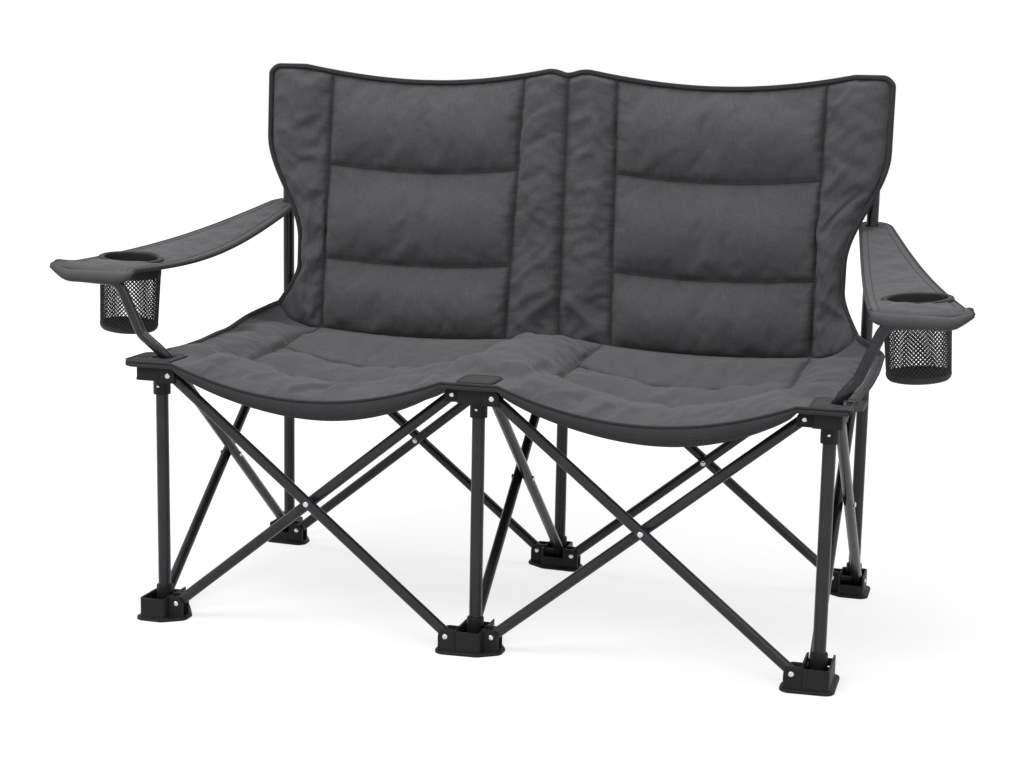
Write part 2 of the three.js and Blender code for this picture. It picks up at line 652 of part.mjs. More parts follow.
// Armrest: from the rear post to the arm tube's end, wider and further out towards the front.
const ARMREST_FRONT_Y = FRONT + ARM_END[1] - 14;
const ARMREST_REAR_Y = REAR + ARMREST_TAIL;
const ARMREST_FOLD_Y = REAR - ARMREST_FOLD;
const ARMREST_T = 7;
function armrestZ(y, outerShare) {
  const share = (REAR - y) / (REAR - FRONT - ARM_END[1]);
  const front = ARM_END[2] + BRACE_R + FIT + ARMREST_T / 2;
  return mix(ARMREST_REAR_Z, front, share) - ARMREST_SAG * (1 - ARMREST_TAUT * outerShare) * Math.sin(Math.PI * THREE.MathUtils.clamp(share, 0, 1));
}

for (const [name, column] of [['left', -BAY], ['right', BAY]]) {
  const outward = Math.sign(column);
  const ringX = column + outward * RING[0];
  const ringY = FRONT + RING[1];
  const place = (u, y) => {
    const share = (REAR - y) / (REAR - ARMREST_FRONT_Y);
    const inner = mix(-20, 47, share);
    const outer = mix(32, 186, share);
    const out = outward > 0 ? mix(inner, outer, u) : mix(outer, inner, u);
    const outerShare = outward > 0 ? u : 1 - u;
    const tip = outerShare ** 3 * smooth(ringY - y, RING_R, ringY - ARMREST_FRONT_Y);
    return new THREE.Vector3(column + outward * out, y, armrestZ(y, outerShare) + ARMREST_TIP * tip);
  };
  const thickness = (u) => ARMREST_T * (0.55 + 0.45 * Math.sqrt(Math.max(0, 1 - (2 * u - 1) ** 4)));
  const panel = (from, to) => solid(paddedSheet(
    [0, 0.12, 0.37, 0.63, 0.88, 1], stations([from, to], 6), place, thickness));
  const edges = [place(0, ringY).x, place(1, ringY).x];
  const ringU = (ringX - edges[0]) / (edges[1] - edges[0]);
  const ringZ = place(ringU, ringY).z;
  const drill = (radius, x, y) => solid(
    upright(ringShape(radius, 0), [ringZ - 60, ARMREST_REAR_Z + 60], 8).translate(x, y, 0));
  const front = panel(ARMREST_FRONT_Y, ARMREST_FOLD_Y - FIT).subtract(drill(RING_NECK_R + 2, ringX, ringY));
  const rear = panel(ARMREST_FOLD_Y + FIT, ARMREST_REAR_Y).subtract(drill(POST_R + 0.6, column, REAR));
  addPiece(`armrest_front_${name}`, geometryOf(front), CLOTH);
  addPiece(`armrest_rear_${name}`, geometryOf(rear), CLOTH);

  // The ring and the cup follow the tilt of the cloth there.
  const alongX = place(ringU + 0.2, ringY).sub(place(ringU - 0.2, ringY));
  const alongY = place(ringU, ringY + 20).sub(place(ringU, ringY - 20));
  alongX.setY(0);
  alongY.setX(0);
  const ringTurn = new THREE.Quaternion().setFromUnitVectors(
    new THREE.Vector3(0, 1, 0), alongX.cross(alongY).normalize());
  const seat = ARMREST_T / 2 + RING_LIFT;
  const ringProfile = [
    [RING_HOLE_R, -16], [RING_NECK_R, -16], [RING_NECK_R, seat], [RING_R, seat],
    [RING_R, seat + 1], [RING_R - 2, seat + 3], [RING_HOLE_R + 1, seat + 3], [RING_HOLE_R, seat + 2],
    [RING_HOLE_R, -16],
  ];
  const cupTop = -seat - 2;
  const cupIn = CUP_R - CUP_WALL;
  const cupLow = cupTop - CUP_DEPTH;
  const cupProfile = [
    [0, cupLow], [CUP_R - 11, cupLow], [CUP_R - 2.5, cupLow + 10], [CUP_R, cupTop],
    [RING_NECK_R + 0.4, cupTop], [RING_NECK_R + 0.4, cupTop - 22], [cupIn - 2.5, cupLow + 11],
    [cupIn - 11, cupLow + CUP_WALL], [0, cupLow + CUP_WALL],
  ];
  const turned = (profile, sides) => {
    const geometry = new THREE.LatheGeometry(profile.map(([r, z]) => new THREE.Vector2(r, z)), sides);
    return geometry.applyQuaternion(ringTurn).translate(ringX, ringY, ringZ);
  };
  addPiece(`cup_ring_${name}`, turned(ringProfile, 18), PLASTIC);
  addPiece(`cup_${name}`, turned(cupProfile, 18), NET);
}

export default part;
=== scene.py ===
# %% [markdown]
# # Folding camping loveseat
# A double camp chair: two padded bucket seats in one charcoal cloth, slung on a steel frame of
# crossed tubes that meet in black plastic feet and hubs. The imported solids are the chair's fixed
# frame. Tubes and mouldings are remade smooth in the same places, and every cloth piece is
# sewn, stuffed and bound here. All lengths are millimetres in the code and metres in Blender.

# %% Load the imported frame
import json
import math
from contextlib import contextmanager

import bmesh
import bpy
import numpy as np
from mathutils import Matrix, Vector

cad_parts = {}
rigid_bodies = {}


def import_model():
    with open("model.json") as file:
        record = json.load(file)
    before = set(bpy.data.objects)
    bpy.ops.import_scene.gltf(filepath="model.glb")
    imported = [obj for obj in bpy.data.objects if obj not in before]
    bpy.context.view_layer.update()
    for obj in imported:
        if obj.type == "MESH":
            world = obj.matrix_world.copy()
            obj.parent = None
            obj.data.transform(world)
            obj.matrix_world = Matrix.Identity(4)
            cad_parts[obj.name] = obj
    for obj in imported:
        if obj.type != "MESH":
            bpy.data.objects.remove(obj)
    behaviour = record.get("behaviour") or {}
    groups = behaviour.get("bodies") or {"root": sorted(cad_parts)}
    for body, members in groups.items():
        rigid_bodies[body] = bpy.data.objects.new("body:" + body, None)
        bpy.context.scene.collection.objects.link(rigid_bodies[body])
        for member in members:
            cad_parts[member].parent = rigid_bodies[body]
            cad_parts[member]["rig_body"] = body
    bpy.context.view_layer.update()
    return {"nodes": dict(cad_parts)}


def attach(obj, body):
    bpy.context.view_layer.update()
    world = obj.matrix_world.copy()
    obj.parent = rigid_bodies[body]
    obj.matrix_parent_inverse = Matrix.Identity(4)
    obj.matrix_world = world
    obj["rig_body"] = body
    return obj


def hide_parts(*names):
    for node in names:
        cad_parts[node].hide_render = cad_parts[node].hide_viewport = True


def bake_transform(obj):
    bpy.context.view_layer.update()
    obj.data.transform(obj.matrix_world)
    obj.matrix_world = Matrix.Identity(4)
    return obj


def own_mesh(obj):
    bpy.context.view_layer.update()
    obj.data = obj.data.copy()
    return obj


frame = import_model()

MM = 0.001
BAY = 500
FRONT, MIDDLE, REAR = -232, 12, 256
PIN_Z, HUB_Z, CROSS_Z = 25, 379, 202
# A bay's pins lie this far beside their column, its tubes lie in two layers about a plane before
# the posts, and the pins of the sides lie this far from the posts.
PIN_OUT, PLANE, LAYER, SIDE_PIN = 32, 25, 8.5, 26
COLUMNS = (("left", -BAY), ("centre", 0), ("right", BAY))
SIDES = (COLUMNS[0], COLUMNS[2])

# %% [markdown]
# ## Camera
# The photograph was taken from the chair's right, a little above it, with a long lens. Position,
# lens and turn were fitted to rivets, feet and hubs whose places are known from the frame. The
# camera's three axes are worked out from yaw, pitch and roll, so no tracking constraint is needed.

# %% Camera at the photograph's angle
YAW, PITCH, TILT = (math.radians(a) for a in (15.924, 9.968, 1.105))
LENS_PX, PHOTO_PX, SENSOR = 1828.8, 1024, 36
EYE = Vector((0.7522, -2.6975, 0.845))


def linked(name, data):
    """A new object in the scene that shows this data."""
    made = bpy.data.objects.new(name, data)
    bpy.context.scene.collection.objects.link(made)
    return made


def camera_axes(yaw, pitch, roll):
    ahead = Vector((-math.sin(yaw) * math.cos(pitch), math.cos(yaw) * math.cos(pitch), -math.sin(pitch)))
    level = Vector((math.cos(yaw), math.sin(yaw), 0))
    above = level.cross(ahead)
    right = level * math.cos(roll) + above * math.sin(roll)
    up = above * math.cos(roll) - level * math.sin(roll)
    return right, up, -ahead


lens = bpy.data.cameras.new("photo_camera")
lens.sensor_width = SENSOR
lens.lens = LENS_PX / PHOTO_PX * SENSOR
lens.clip_end = 50
camera = linked("photo_camera", lens)
axes = Matrix(camera_axes(YAW, PITCH, TILT)).transposed()
camera.matrix_world = Matrix.Translation(EYE) @ axes.to_4x4()
bpy.context.scene.camera = camera
print("lens", round(lens.lens, 1), "mm")

# %% [markdown]
# ## Studio
# The chair stands on white paper under large soft lamps. The floor's colour makes the background
# white: seen straight by the camera or in a reflection it shines by itself, and the lamps stay at a
# plain level. Only the shadow that the lamps cast is left on it.


# %% Node helpers, floor, lamps and world
def wire(tree, kind, sockets=None, **settings):
    """Adds a node, sets its properties, and fills or links its inputs by name or number."""
    made = tree.nodes.new(kind)
    for key, value in settings.items():
        setattr(made, key, value)
    for key, value in (sockets or {}).items():
        if isinstance(value, bpy.types.NodeSocket):
            tree.links.new(value, made.inputs[key])
        else:
            made.inputs[key].default_value = value
    return made


def put(tree, kind, sockets=None, **settings):
    """Adds a node and gives its first output."""
    return wire(tree, kind, sockets, **settings).outputs[0]


def maths(tree, operation, *values):
    return put(tree, "ShaderNodeMath", dict(enumerate(values)), operation=operation)


def ranged(tree, value, low, high, **more):
    return put(tree, "ShaderNodeMapRange", {"Value": value, "To Min": low, "To Max": high, **more})


def blank_tree(owner):
    owner.use_nodes = True
    owner.node_tree.nodes.clear()
    return owner.node_tree


def seen_straight(tree):
    """1 for the camera's own rays and for reflections."""
    ray = wire(tree, "ShaderNodeLightPath")
    return maths(tree, "MAXIMUM", ray.outputs["Is Camera Ray"], ray.outputs["Is Glossy Ray"])


def paper():
    finish = bpy.data.materials.new("white_paper")
    tree = blank_tree(finish)
    seen = seen_straight(tree)
    tone = ranged(tree, put(tree, "ShaderNodeTexNoise", {"Scale": 60.0, "Detail": 3.0}), 0.86, 0.9)
    shade = maths(tree, "MULTIPLY", tone, ranged(tree, seen, 0.5, 1.0))
    matte = put(tree, "ShaderNodeBsdfDiffuse", {"Color": shade})
    glow = put(tree, "ShaderNodeEmission", {"Color": (1, 1, 1, 1), "Strength": 1.25})
    place = wire(tree, "ShaderNodeNewGeometry").outputs["Position"]
    away = wire(tree, "ShaderNodeVectorMath", {0: place}, operation="LENGTH").outputs["Value"]
    own = put(tree, "ShaderNodeMapRange", {"Value": away, "From Min": 0.7, "From Max": 1.9, "To Min": 0.62,
                                           "To Max": 0.9}, interpolation_type="SMOOTHSTEP")
    share = maths(tree, "MULTIPLY", seen, own)
    mixed = put(tree, "ShaderNodeMixShader", {0: share, 1: matte, 2: glow})
    wire(tree, "ShaderNodeOutputMaterial", {0: mixed})
    return finish


FLOOR_HALF = 9
sheet_of_paper = bpy.data.meshes.new("studio_floor")
corners = [(sx * FLOOR_HALF, sy * FLOOR_HALF, 0) for sx, sy in ((-1, -1), (1, -1), (1, 1), (-1, 1))]
sheet_of_paper.from_pydata(corners, [], [(0, 1, 2, 3)])
floor = linked("studio_floor", sheet_of_paper)
floor.data.materials.append(paper())


def softbox(name, place, aim, size, watts):
    lamp = bpy.data.lights.new(name, "AREA")
    lamp.shape = "RECTANGLE"
    lamp.size, lamp.size_y = size
    lamp.energy = watts
    made = linked(name, lamp)
    made.location = place
    made.rotation_euler = (Vector(aim) - Vector(place)).to_track_quat("-Z", "Y").to_euler()


softbox("key_softbox", (-1.3, -2.3, 3.5), (0, 0, 0.5), (2.0, 1.5), 96)
softbox("fill_softbox", (2.8, -1.8, 1.9), (0, 0, 0.4), (1.6, 1.6), 16)
softbox("top_softbox", (0.1, 0.5, 3.2), (0, 0, 0.4), (2.6, 2.0), 40)

world = bpy.data.worlds.new("studio_air")
bpy.context.scene.world = world
sky = blank_tree(world)
strength = ranged(sky, seen_straight(sky), 0.34, 1.0)
air = put(sky, "ShaderNodeBackground", {"Color": (1, 1, 1, 1), "Strength": strength})
wire(sky, "ShaderNodeOutputWorld", {0: air})
bpy.context.scene.view_settings.view_transform = "Standard"

# %% [markdown]
# ## Finishes
# Charcoal polyester is woven from two greys, so close up it shows yarns and from a step away a
# mottled tone. Its weave runs on the cloth's own UV map, which is laid out in metres, so it bends
# with every channel. The cover's colour is darkened along its seams, a painted shade of the seam
# valleys, and the cover puckers beside them, by values that the panels carry. Powder coat, plastic
# and zinc differ in roughness and in a fine grain from a noise.


# %% Finishes
def finish_of(name, roughness, metallic=0.0, specular=0.5):
    made = bpy.data.materials.new(name)
    tree = blank_tree(made)
    shader = wire(tree, "ShaderNodeBsdfPrincipled", {
        "Roughness": roughness, "Metallic": metallic, "Specular IOR Level": specular})
    wire(tree, "ShaderNodeOutputMaterial", {0: shader.outputs[0]})
    return made, tree, shader


def tones(tree, factor, stops):
    ramp = wire(tree, "ShaderNodeValToRGB", {0: factor})
    ramp.color_ramp.elements.remove(ramp.color_ramp.elements[1])
    for i, (place, grey) in enumerate(stops):
        stop = ramp.color_ramp.elements[0] if i == 0 else ramp.color_ramp.elements.new(place)
        stop.position = place
        stop.color = (*grey, 1)
    return ramp.outputs[0]


def blend(tree, share, a, b):
    return put(tree, "ShaderNodeMix", {0: share, 2: a, 3: b})


def raised(tree, shader, height, strength, distance):
    bump = wire(tree, "ShaderNodeBump", {"Height": height, "Strength": strength, "Distance": distance})
    tree.links.new(bump.outputs[0], shader.inputs["Normal"])
    return bump


def woven(name, dark, mean, light, yarn=0.0011, depth=0.55, sewn=False):
    made, tree, shader = finish_of(name, 0.88, specular=0.3)
    shader.inputs["Sheen Weight"].default_value = 0.12
    shader.inputs["Sheen Roughness"].default_value = 0.5
    cloth = put(tree, "ShaderNodeUVMap", uv_map="cloth")
    parts = wire(tree, "ShaderNodeSeparateXYZ", {0: cloth}).outputs
    waves = [maths(tree, "SINE", maths(tree, "MULTIPLY", parts[k], math.pi / yarn)) for k in (0, 1)]
    knit = ranged(tree, maths(tree, "MULTIPLY", *waves), 0.0, 1.0, **{"From Min": -1.0})

    def slubs(scale, detail):
        stretched = put(tree, "ShaderNodeMapping", {0: cloth, "Scale": scale})
        return put(tree, "ShaderNodeTexNoise", {
            "Vector": stretched, "Scale": 1.0, "Detail": detail, "Roughness": 0.6})

    streaks = blend(tree, 0.5, slubs((900, 55, 1), 2.0), slubs((70, 900, 1), 2.0))
    mottle = blend(tree, 0.14, streaks, slubs((14, 14, 1), 3.0))
    shade = blend(tree, 0.22, mottle, knit)
    colour = tones(tree, shade, [(0.3, dark), (0.5, mean), (0.7, light)])
    weave = raised(tree, shader, blend(tree, 0.35, knit, streaks), depth, 0.0004)
    if not sewn:
        tree.links.new(colour, shader.inputs["Base Color"])
        return made

    def near(mark):
        return wire(tree, "ShaderNodeAttribute", attribute_name=mark).outputs["Fac"]

    # Painted shade: the cover's colour darkens towards each seam, in place of the shadow in the seam's valley.
    painted_seam_shade = ranged(tree, near("seam"), 1.0, 0.34)
    shade_painted_colour = put(tree, "ShaderNodeVectorMath", {0: colour, "Scale": painted_seam_shade}, operation="SCALE")
    tree.links.new(shade_painted_colour, shader.inputs["Base Color"])
    beside = [maths(tree, "MULTIPLY", slubs((*scale, 1), 1.5), near(mark))
              for scale, mark in (((20, 85), "beside_upright"), ((85, 20), "beside_cross"))]
    raised(tree, weave, maths(tree, "ADD", *beside), 1.0, 0.0035)
    return made


def grained(name, dark, light, roughness, metallic=0.0, scale=900.0, strength=0.15, specular=0.5):
    made, tree, shader = finish_of(name, roughness, metallic, specular)
    place = wire(tree, "ShaderNodeTexCoord").outputs["Object"]
    grain = put(tree, "ShaderNodeTexNoise", {"Vector": place, "Scale": scale, "Detail": 3.0})
    cloud = put(tree, "ShaderNodeTexNoise", {"Vector": place, "Scale": 22.0, "Detail": 2.0})
    colour = tones(tree, blend(tree, 0.5, grain, cloud), [(0.35, dark), (0.65, light)])
    tree.links.new(colour, shader.inputs["Base Color"])
    gloss = ranged(tree, cloud, roughness - 0.05, roughness + 0.06, **{"From Min": 0.3, "From Max": 0.7})
    tree.links.new(gloss, shader.inputs["Roughness"])
    raised(tree, shader, grain, strength, 0.0002)
    return made


CHARCOAL = woven("charcoal_cloth", (0.052, 0.052, 0.056), (0.083, 0.083, 0.088), (0.122, 0.122, 0.129), sewn=True)
LINING = woven("lining_cloth", (0.04, 0.04, 0.043), (0.06, 0.06, 0.064), (0.088, 0.088, 0.093))
BINDING = woven("binding_tape", (0.024, 0.024, 0.026), (0.036, 0.036, 0.039), (0.053, 0.053, 0.057), 0.0016, 0.8)
BAND = woven("front_band", (0.03, 0.03, 0.032), (0.046, 0.046, 0.049), (0.064, 0.064, 0.068), 0.0009)
THREAD = grained("sewing_thread", (0.018, 0.018, 0.02), (0.034, 0.034, 0.036), 0.7, 0.0, 3000.0)
POWDER = grained("graphite_powder_coat", (0.024, 0.025, 0.027), (0.039, 0.04, 0.043), 0.26, 0.3, 1500.0, 0.1, 0.3)
MOULDED = grained("black_moulding", (0.009, 0.009, 0.01), (0.016, 0.016, 0.017), 0.55, 0.0, 1400.0, 0.2, 0.22)
ZINC = grained("zinc_rivet", (0.5, 0.51, 0.52), (0.68, 0.69, 0.7), 0.3, 1.0, 700.0, 0.1)
YARN = grained("net_yarn", (0.008, 0.008, 0.009), (0.02, 0.02, 0.021), 0.7, 0.0, 2500.0, 0.4)
PATCH = grained("coated_patch", (0.017, 0.017, 0.018), (0.03, 0.03, 0.032), 0.55, 0.0, 1100.0, 0.3)
print("finishes", len(bpy.data.materials))

# %% [markdown]
# ## Steel tubes
# Posts, braces and arm tubes are drawn tube. A ring of points is carried along each path and turned
# with it, which gives a smooth round tube with true hollow ends, finer than the solids' twelve sides.
# Each new tube takes the place of its solid and rides on the same body.


# %% Mesh and sweep helpers
def values_of(items, key, width=1, kind=float):
    """One property of all these mesh items, as an array."""
    found = np.zeros(len(items) * width, kind)
    items.foreach_get(key, found)
    return found.reshape(-1, width) if width > 1 else found


@contextmanager
def edited(mesh):
    """The mesh opened for editing, and put back afterwards."""
    bm = bmesh.new()
    bm.from_mesh(mesh)
    yield bm
    bm.to_mesh(mesh)
    bm.free()


def piece_of(name, points, faces, finish, uv=None):
    """A plain mesh object from points in millimetres, with its cloth UV where one is given."""
    mesh = bpy.data.meshes.new(name)
    mesh.from_pydata([tuple(p * MM) for p in np.asarray(points, float)], [], faces)
    mesh.materials.append(finish)
    mesh.polygons.foreach_set("use_smooth", [True] * len(mesh.polygons))
    if uv is not None:
        layer = mesh.uv_layers.new(name="cloth")
        corner = values_of(mesh.loops, "vertex_index", 1, np.int32)
        layer.data.foreach_set("uv", (np.asarray(uv, float)[corner] * MM).ravel())
    mesh.update()
    return linked(name, mesh)


def unit(v):
    return v / np.maximum(np.linalg.norm(v, axis=-1, keepdims=True), 1e-12)


def run_along(path):
    """Length from the start of a path to each of its points."""
    return np.concatenate([[0], np.cumsum(np.linalg.norm(np.diff(path, axis=0), axis=1))])


def ring_faces(n, m):
    """Faces between n rings of m points, and a face on either end."""
    walls = [(i * m + j, i * m + (j + 1) % m, (i + 1) * m + (j + 1) % m, (i + 1) * m + j)
             for i in range(n - 1) for j in range(m)]
    return walls + [tuple(range(m))[::-1], tuple((n - 1) * m + j for j in range(m))]


def frames_along(path, up=None):
    """Tangent, side and up at each point of a path; up is carried along unless it is given."""
    path = np.asarray(path, float)
    tangent = unit(np.gradient(path, axis=0))
    if up is None:
        first = np.array((0, 0, 1.0)) if abs(tangent[0][2]) < 0.9 else np.array((0, 1.0, 0))
        ups = [unit(first - tangent[0] * (first @ tangent[0]))]
        for t in tangent[1:]:
            ups.append(unit(ups[-1] - t * (ups[-1] @ t)))
        up = np.array(ups)
    else:
        up = np.asarray(up, float)
        up = unit(up - tangent * np.sum(up * tangent, axis=1, keepdims=True))
    return tangent, np.cross(tangent, up), up


def outward(obj):
    """Turns all faces outwards."""
    with edited(obj.data) as bm:
        bmesh.ops.recalc_face_normals(bm, faces=bm.faces)
    return obj


def crisp(obj, degrees=35):
    """Smooth faces, with edges sharper than this kept sharp."""
    with edited(obj.data) as bm:
        for face in bm.faces:
            face.smooth = True
        for edge in bm.edges:
            edge.smooth = len(edge.link_faces) == 2 and edge.calc_face_angle(0) < math.radians(degrees)
    return obj


def sweep(name, path, section, finish, up=None, scale=None):
    """Carries a closed section (side, up) along a path in millimetres."""
    path, section = np.asarray(path, float), np.asarray(section, float)
    _, side, up = frames_along(path, up)
    size = np.ones(len(path)) if scale is None else np.asarray(scale, float)
    wide, high = ((section[:, k] * size[:, None])[..., None] for k in (0, 1))
    rings = path[:, None] + side[:, None] * wide + up[:, None] * high
    uv = np.stack(np.broadcast_arrays(run_along(path)[:, None], run_along(section)[None]), -1)
    faces = ring_faces(len(path), len(section))
    return outward(piece_of(name, rings.reshape(-1, 3), faces, finish, uv.reshape(-1, 2)))


def circle(radius, sides=28):
    turn = np.linspace(0, 2 * math.pi, sides, endpoint=False)
    return np.stack([np.cos(turn), np.sin(turn)], 1) * radius


def lathe(name, profile, finish, centre=(0, 0, 0), sides=48):
    """Turns a closed (radius, height) profile about an upright axis through centre."""
    (c, s), (r, z) = circle(1.0, sides).T, np.asarray(profile, float).T
    points = np.stack([np.outer(c, r), np.outer(s, r), np.broadcast_to(z, (sides, len(z)))], -1).reshape(-1, 3)
    faces = [tuple(k % len(points) for k in f) for f in ring_faces(sides + 1, len(z))[:-2]]
    made = piece_of(name, points + np.asarray(centre, float), faces, finish)
    with edited(made.data) as bm:
        bmesh.ops.remove_doubles(bm, verts=bm.verts, dist=1e-6)
        bmesh.ops.recalc_face_normals(bm, faces=bm.faces)
    return made


# %% Hollow tubes
POST_R, BRACE_R, WALL, LIP, BORE_SHOWN = 9.5, 8.0, 1.2, 0.4, 14
FOOT_FLOOR, FRONT_TOP, REAR_TOP = 6.3, 369.7, 808


def hollow_tube(name, path, radius):
    """A round tube with a rounded lip and an open end on both ends."""
    path = np.asarray(path, float)
    tangent, side, up = frames_along(path)
    inside = radius - WALL
    ends = [(BORE_SHOWN, inside), (0, inside), (0, radius - LIP), (LIP, radius)]
    rings = [(path[0] + tangent[0] * d, side[0], up[0], r) for d, r in ends]
    rings += [(path[i], side[i], up[i], radius) for i in range(1, len(path) - 1)]
    rings += [(path[-1] - tangent[-1] * d, side[-1], up[-1], r) for d, r in reversed(ends)]
    c, s = circle(1.0).T
    points = np.concatenate([p + np.outer(c, a) * r + np.outer(s, b) * r for p, a, b, r in rings])
    return crisp(outward(piece_of(name, points, ring_faces(len(rings), len(c)), POWDER)))


def bent(corners, radius, steps=9):
    """A path of straights with a round bend at every inner corner."""
    corners = [np.asarray(c, float) for c in corners]
    path = [corners[0]]
    for before, corner, after in zip(corners, corners[1:], corners[2:]):
        a, b = unit(corner - before), unit(after - corner)
        turn = math.acos(float(np.clip(a @ b, -1, 1)))
        start = corner - a * radius * math.tan(turn / 2)
        inward = unit(b - a * (a @ b))
        path += [start + a * radius * math.sin(t) + inward * radius * (1 - math.cos(t))
                 for t in np.linspace(0, turn, steps)]
    return path + [corners[-1]]


body_of_node = {n: o["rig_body"] for n, o in frame["nodes"].items()}


def replace(obj, *nodes):
    """The piece stands for these solids and rides on their body."""
    body = body_of_node[nodes[0]]
    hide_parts(*nodes)
    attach(obj, body)
    return obj


def tube(node, path, radius=BRACE_R):
    replace(hollow_tube(f"{node}_tube", path, radius), node)


def past(pin, other, by=7.5):
    """The end of a tube, a little beyond its pin."""
    pin, other = np.asarray(pin, float), np.asarray(other, float)
    return pin + unit(pin - other) * by


def straight_between(a, b):
    a, b = past(a, b), past(b, a)
    return [a, a + (b - a) * 0.01, a + (b - a) * 0.5, a + (b - a) * 0.99, b]


for name, x in COLUMNS:
    for row, y, top in (("front", FRONT, FRONT_TOP), ("rear", REAR, REAR_TOP)):
        tube(f"post_{row}_{name}", [(x, y, z) for z in (FOOT_FLOOR, 12, 200, top - 6, top)], POST_R)
for row, plane, layer in (("front", FRONT - PLANE, -LAYER), ("rear", REAR - PLANE, LAYER)):
    for bay, x in (("left", -BAY), ("right", 0)):
        a, b = x + PIN_OUT, x + BAY - PIN_OUT
        for kind, y, low, high in (("fall", plane + layer, b, a), ("climb", plane - layer, a, b)):
            tube(f"brace_{row}_{bay}_{kind}", straight_between((low, y, PIN_Z), (high, y, HUB_Z)))

ARM_SHOULDER, ARM_ELBOW, ARM_END = (34, 2, 432), (67, -5, 511), (150, -6, 515)
KNEE_Z, ARM_BEND = 402, 26
for name, x in COLUMNS:
    low_rear, high_front = (x + LAYER, REAR - SIDE_PIN, PIN_Z), (x + LAYER, FRONT + SIDE_PIN, HUB_Z)
    low_front, high_rear = (x - LAYER, FRONT + SIDE_PIN, PIN_Z), (x - LAYER, REAR - SIDE_PIN, HUB_Z)
    tube(f"brace_side_{name}", straight_between(low_front, high_rear))
    if x == 0:
        tube("brace_side_centre_arm", straight_between(low_rear, high_front))
        continue
    share = (KNEE_Z - PIN_Z) / (HUB_Z - PIN_Z)
    knee = np.array(low_rear) + (np.array(high_front) - np.array(low_rear)) * share
    corners = [past(low_rear, high_front), knee]
    corners += [(x + x // BAY * out, FRONT + y, z) for out, y, z in (ARM_SHOULDER, ARM_ELBOW, ARM_END)]
    tube(f"arm_tube_{name}", bent(corners, ARM_BEND))

# %% [markdown]
# ## Plastic fittings
# Feet, hubs and sliders are injection moulded, so every edge has a small radius that catches light.
# Their solids already have the right form. A copy of each is welded, its flat faces are merged and a
# bevel rounds its edges. Each foot also gets the rounded sole that the photograph shows. Sleeves, caps
# and cup rings are round, so they are turned on a lathe.


# %% Rounded mouldings
def baked(obj):
    """Turns an object with modifiers into a plain mesh of what they give."""
    graph = bpy.context.evaluated_depsgraph_get()
    shown = obj.evaluated_get(graph)
    mesh = bpy.data.meshes.new_from_object(shown, preserve_all_data_layers=True, depsgraph=graph)
    obj.modifiers.clear()
    obj.data = mesh
    return obj


def joined(name, objects):
    """One mesh object from several, with all their finishes."""
    with bpy.context.temp_override(active_object=objects[0], selected_editable_objects=objects,
                                   selected_objects=objects, object=objects[0]):
        bpy.ops.object.join()
    objects[0].name = name
    objects[0].data.name = name
    return objects[0]


def moulding(node, *extra):
    made = linked(f"{node}_moulding", frame["nodes"][node].data.copy())
    with edited(made.data) as bm:
        bmesh.ops.remove_doubles(bm, verts=bm.verts, dist=1e-5)
        bmesh.ops.dissolve_limit(bm, angle_limit=math.radians(1), verts=bm.verts, edges=bm.edges)
    made.data.materials.clear()
    made.data.materials.append(MOULDED)
    rounding = made.modifiers.new("rounding", "BEVEL")
    rounding.width = 0.0008
    rounding.segments = 2
    rounding.limit_method = "ANGLE"
    rounding.angle_limit = math.radians(48)
    return replace(joined(f"{node}_moulding", [crisp(baked(made), 32), *extra]), node)


def hull(points):
    """Convex outline round a set of points, counter-clockwise."""
    points = sorted(set(points))
    chain = []
    for run in (points, points[::-1]):
        start = len(chain)
        for p in run:
            while len(chain) - start > 1:
                (ax, ay), (bx, by) = chain[-2:]
                if (bx - ax) * (p[1] - ay) - (by - ay) * (p[0] - ax) > 0:
                    break
                chain.pop()
            chain.append(p)
        chain.pop()
    return chain


SOLE_R = 14.5
SOLE_LEVELS = [(-1.0, 0.0), (0.0, 0.8), (0.0, 3.4), (-0.6, 4.4), (-1.8, 4.9), (-9, 5.2)]


def sole(name, spots, centre):
    """The rounded flange under a foot: a convex outline round these spots, with a soft edge."""
    rim = hull([(round(px + dx, 4), round(py + dy, 4)) for px, py in spots for dx, dy in circle(SOLE_R, 32)])
    mid = np.mean(rim, axis=0)
    points = [(*(p + unit(p - mid) * inset + centre), z) for inset, z in SOLE_LEVELS for p in np.array(rim)]
    return crisp(piece_of(name, points, ring_faces(len(SOLE_LEVELS), len(rim)), MOULDED), 50)


def bays_beside(x):
    """-1 and 1 for the sides of a column that have a bay."""
    return [side for side in (-1, 1) if abs(x + side * BAY) <= BAY]


def layer_of(side, low, front):
    """The layer of the tube that ends on this side of a column, at a foot or at a hub."""
    return -LAYER if (low == (side < 0)) == front else LAYER


SLEEVE = [(9.8, 6.3), (12.2, 6.3), (12.5, 7), (12.5, 43.5), (12.1, 45.2), (11.2, 46), (9.8, 46)]
DOME = [(0, -14), (8, -14), (8, 0.3), (10.5, 0.3), (10.5, 4.5), (9.6, 6.6), (7.6, 8.6), (4, 9.8), (0, 10)]


def turned(node, profile, centre):
    replace(crisp(lathe(f"{node}_turned", profile, MOULDED, centre)), node)


for name, x in COLUMNS:
    moulding(f"hub_front_{name}")
    moulding(f"slider_rear_{name}")
    for row, y, back_end in (("front", FRONT, 27), ("rear", REAR, 9.5)):
        spots = [(px, py) for px in (-13, 13) for py in (-36, back_end)]
        for side in bays_beside(x):
            ear = layer_of(side, True, row == "front") - PLANE
            spots += [(side * 34, ear - 5), (side * 34, ear + 7)]
        node = f"foot_{row}_{name}"
        moulding(node, sole(f"{node}_sole", spots, (x, y)))
    for row, y in (("front", FRONT), ("rear", REAR)):
        turned(f"sleeve_{row}_{name}", SLEEVE, (x, y, 0))
    turned(f"cap_rear_{name}", DOME, (x, REAR, REAR_TOP))

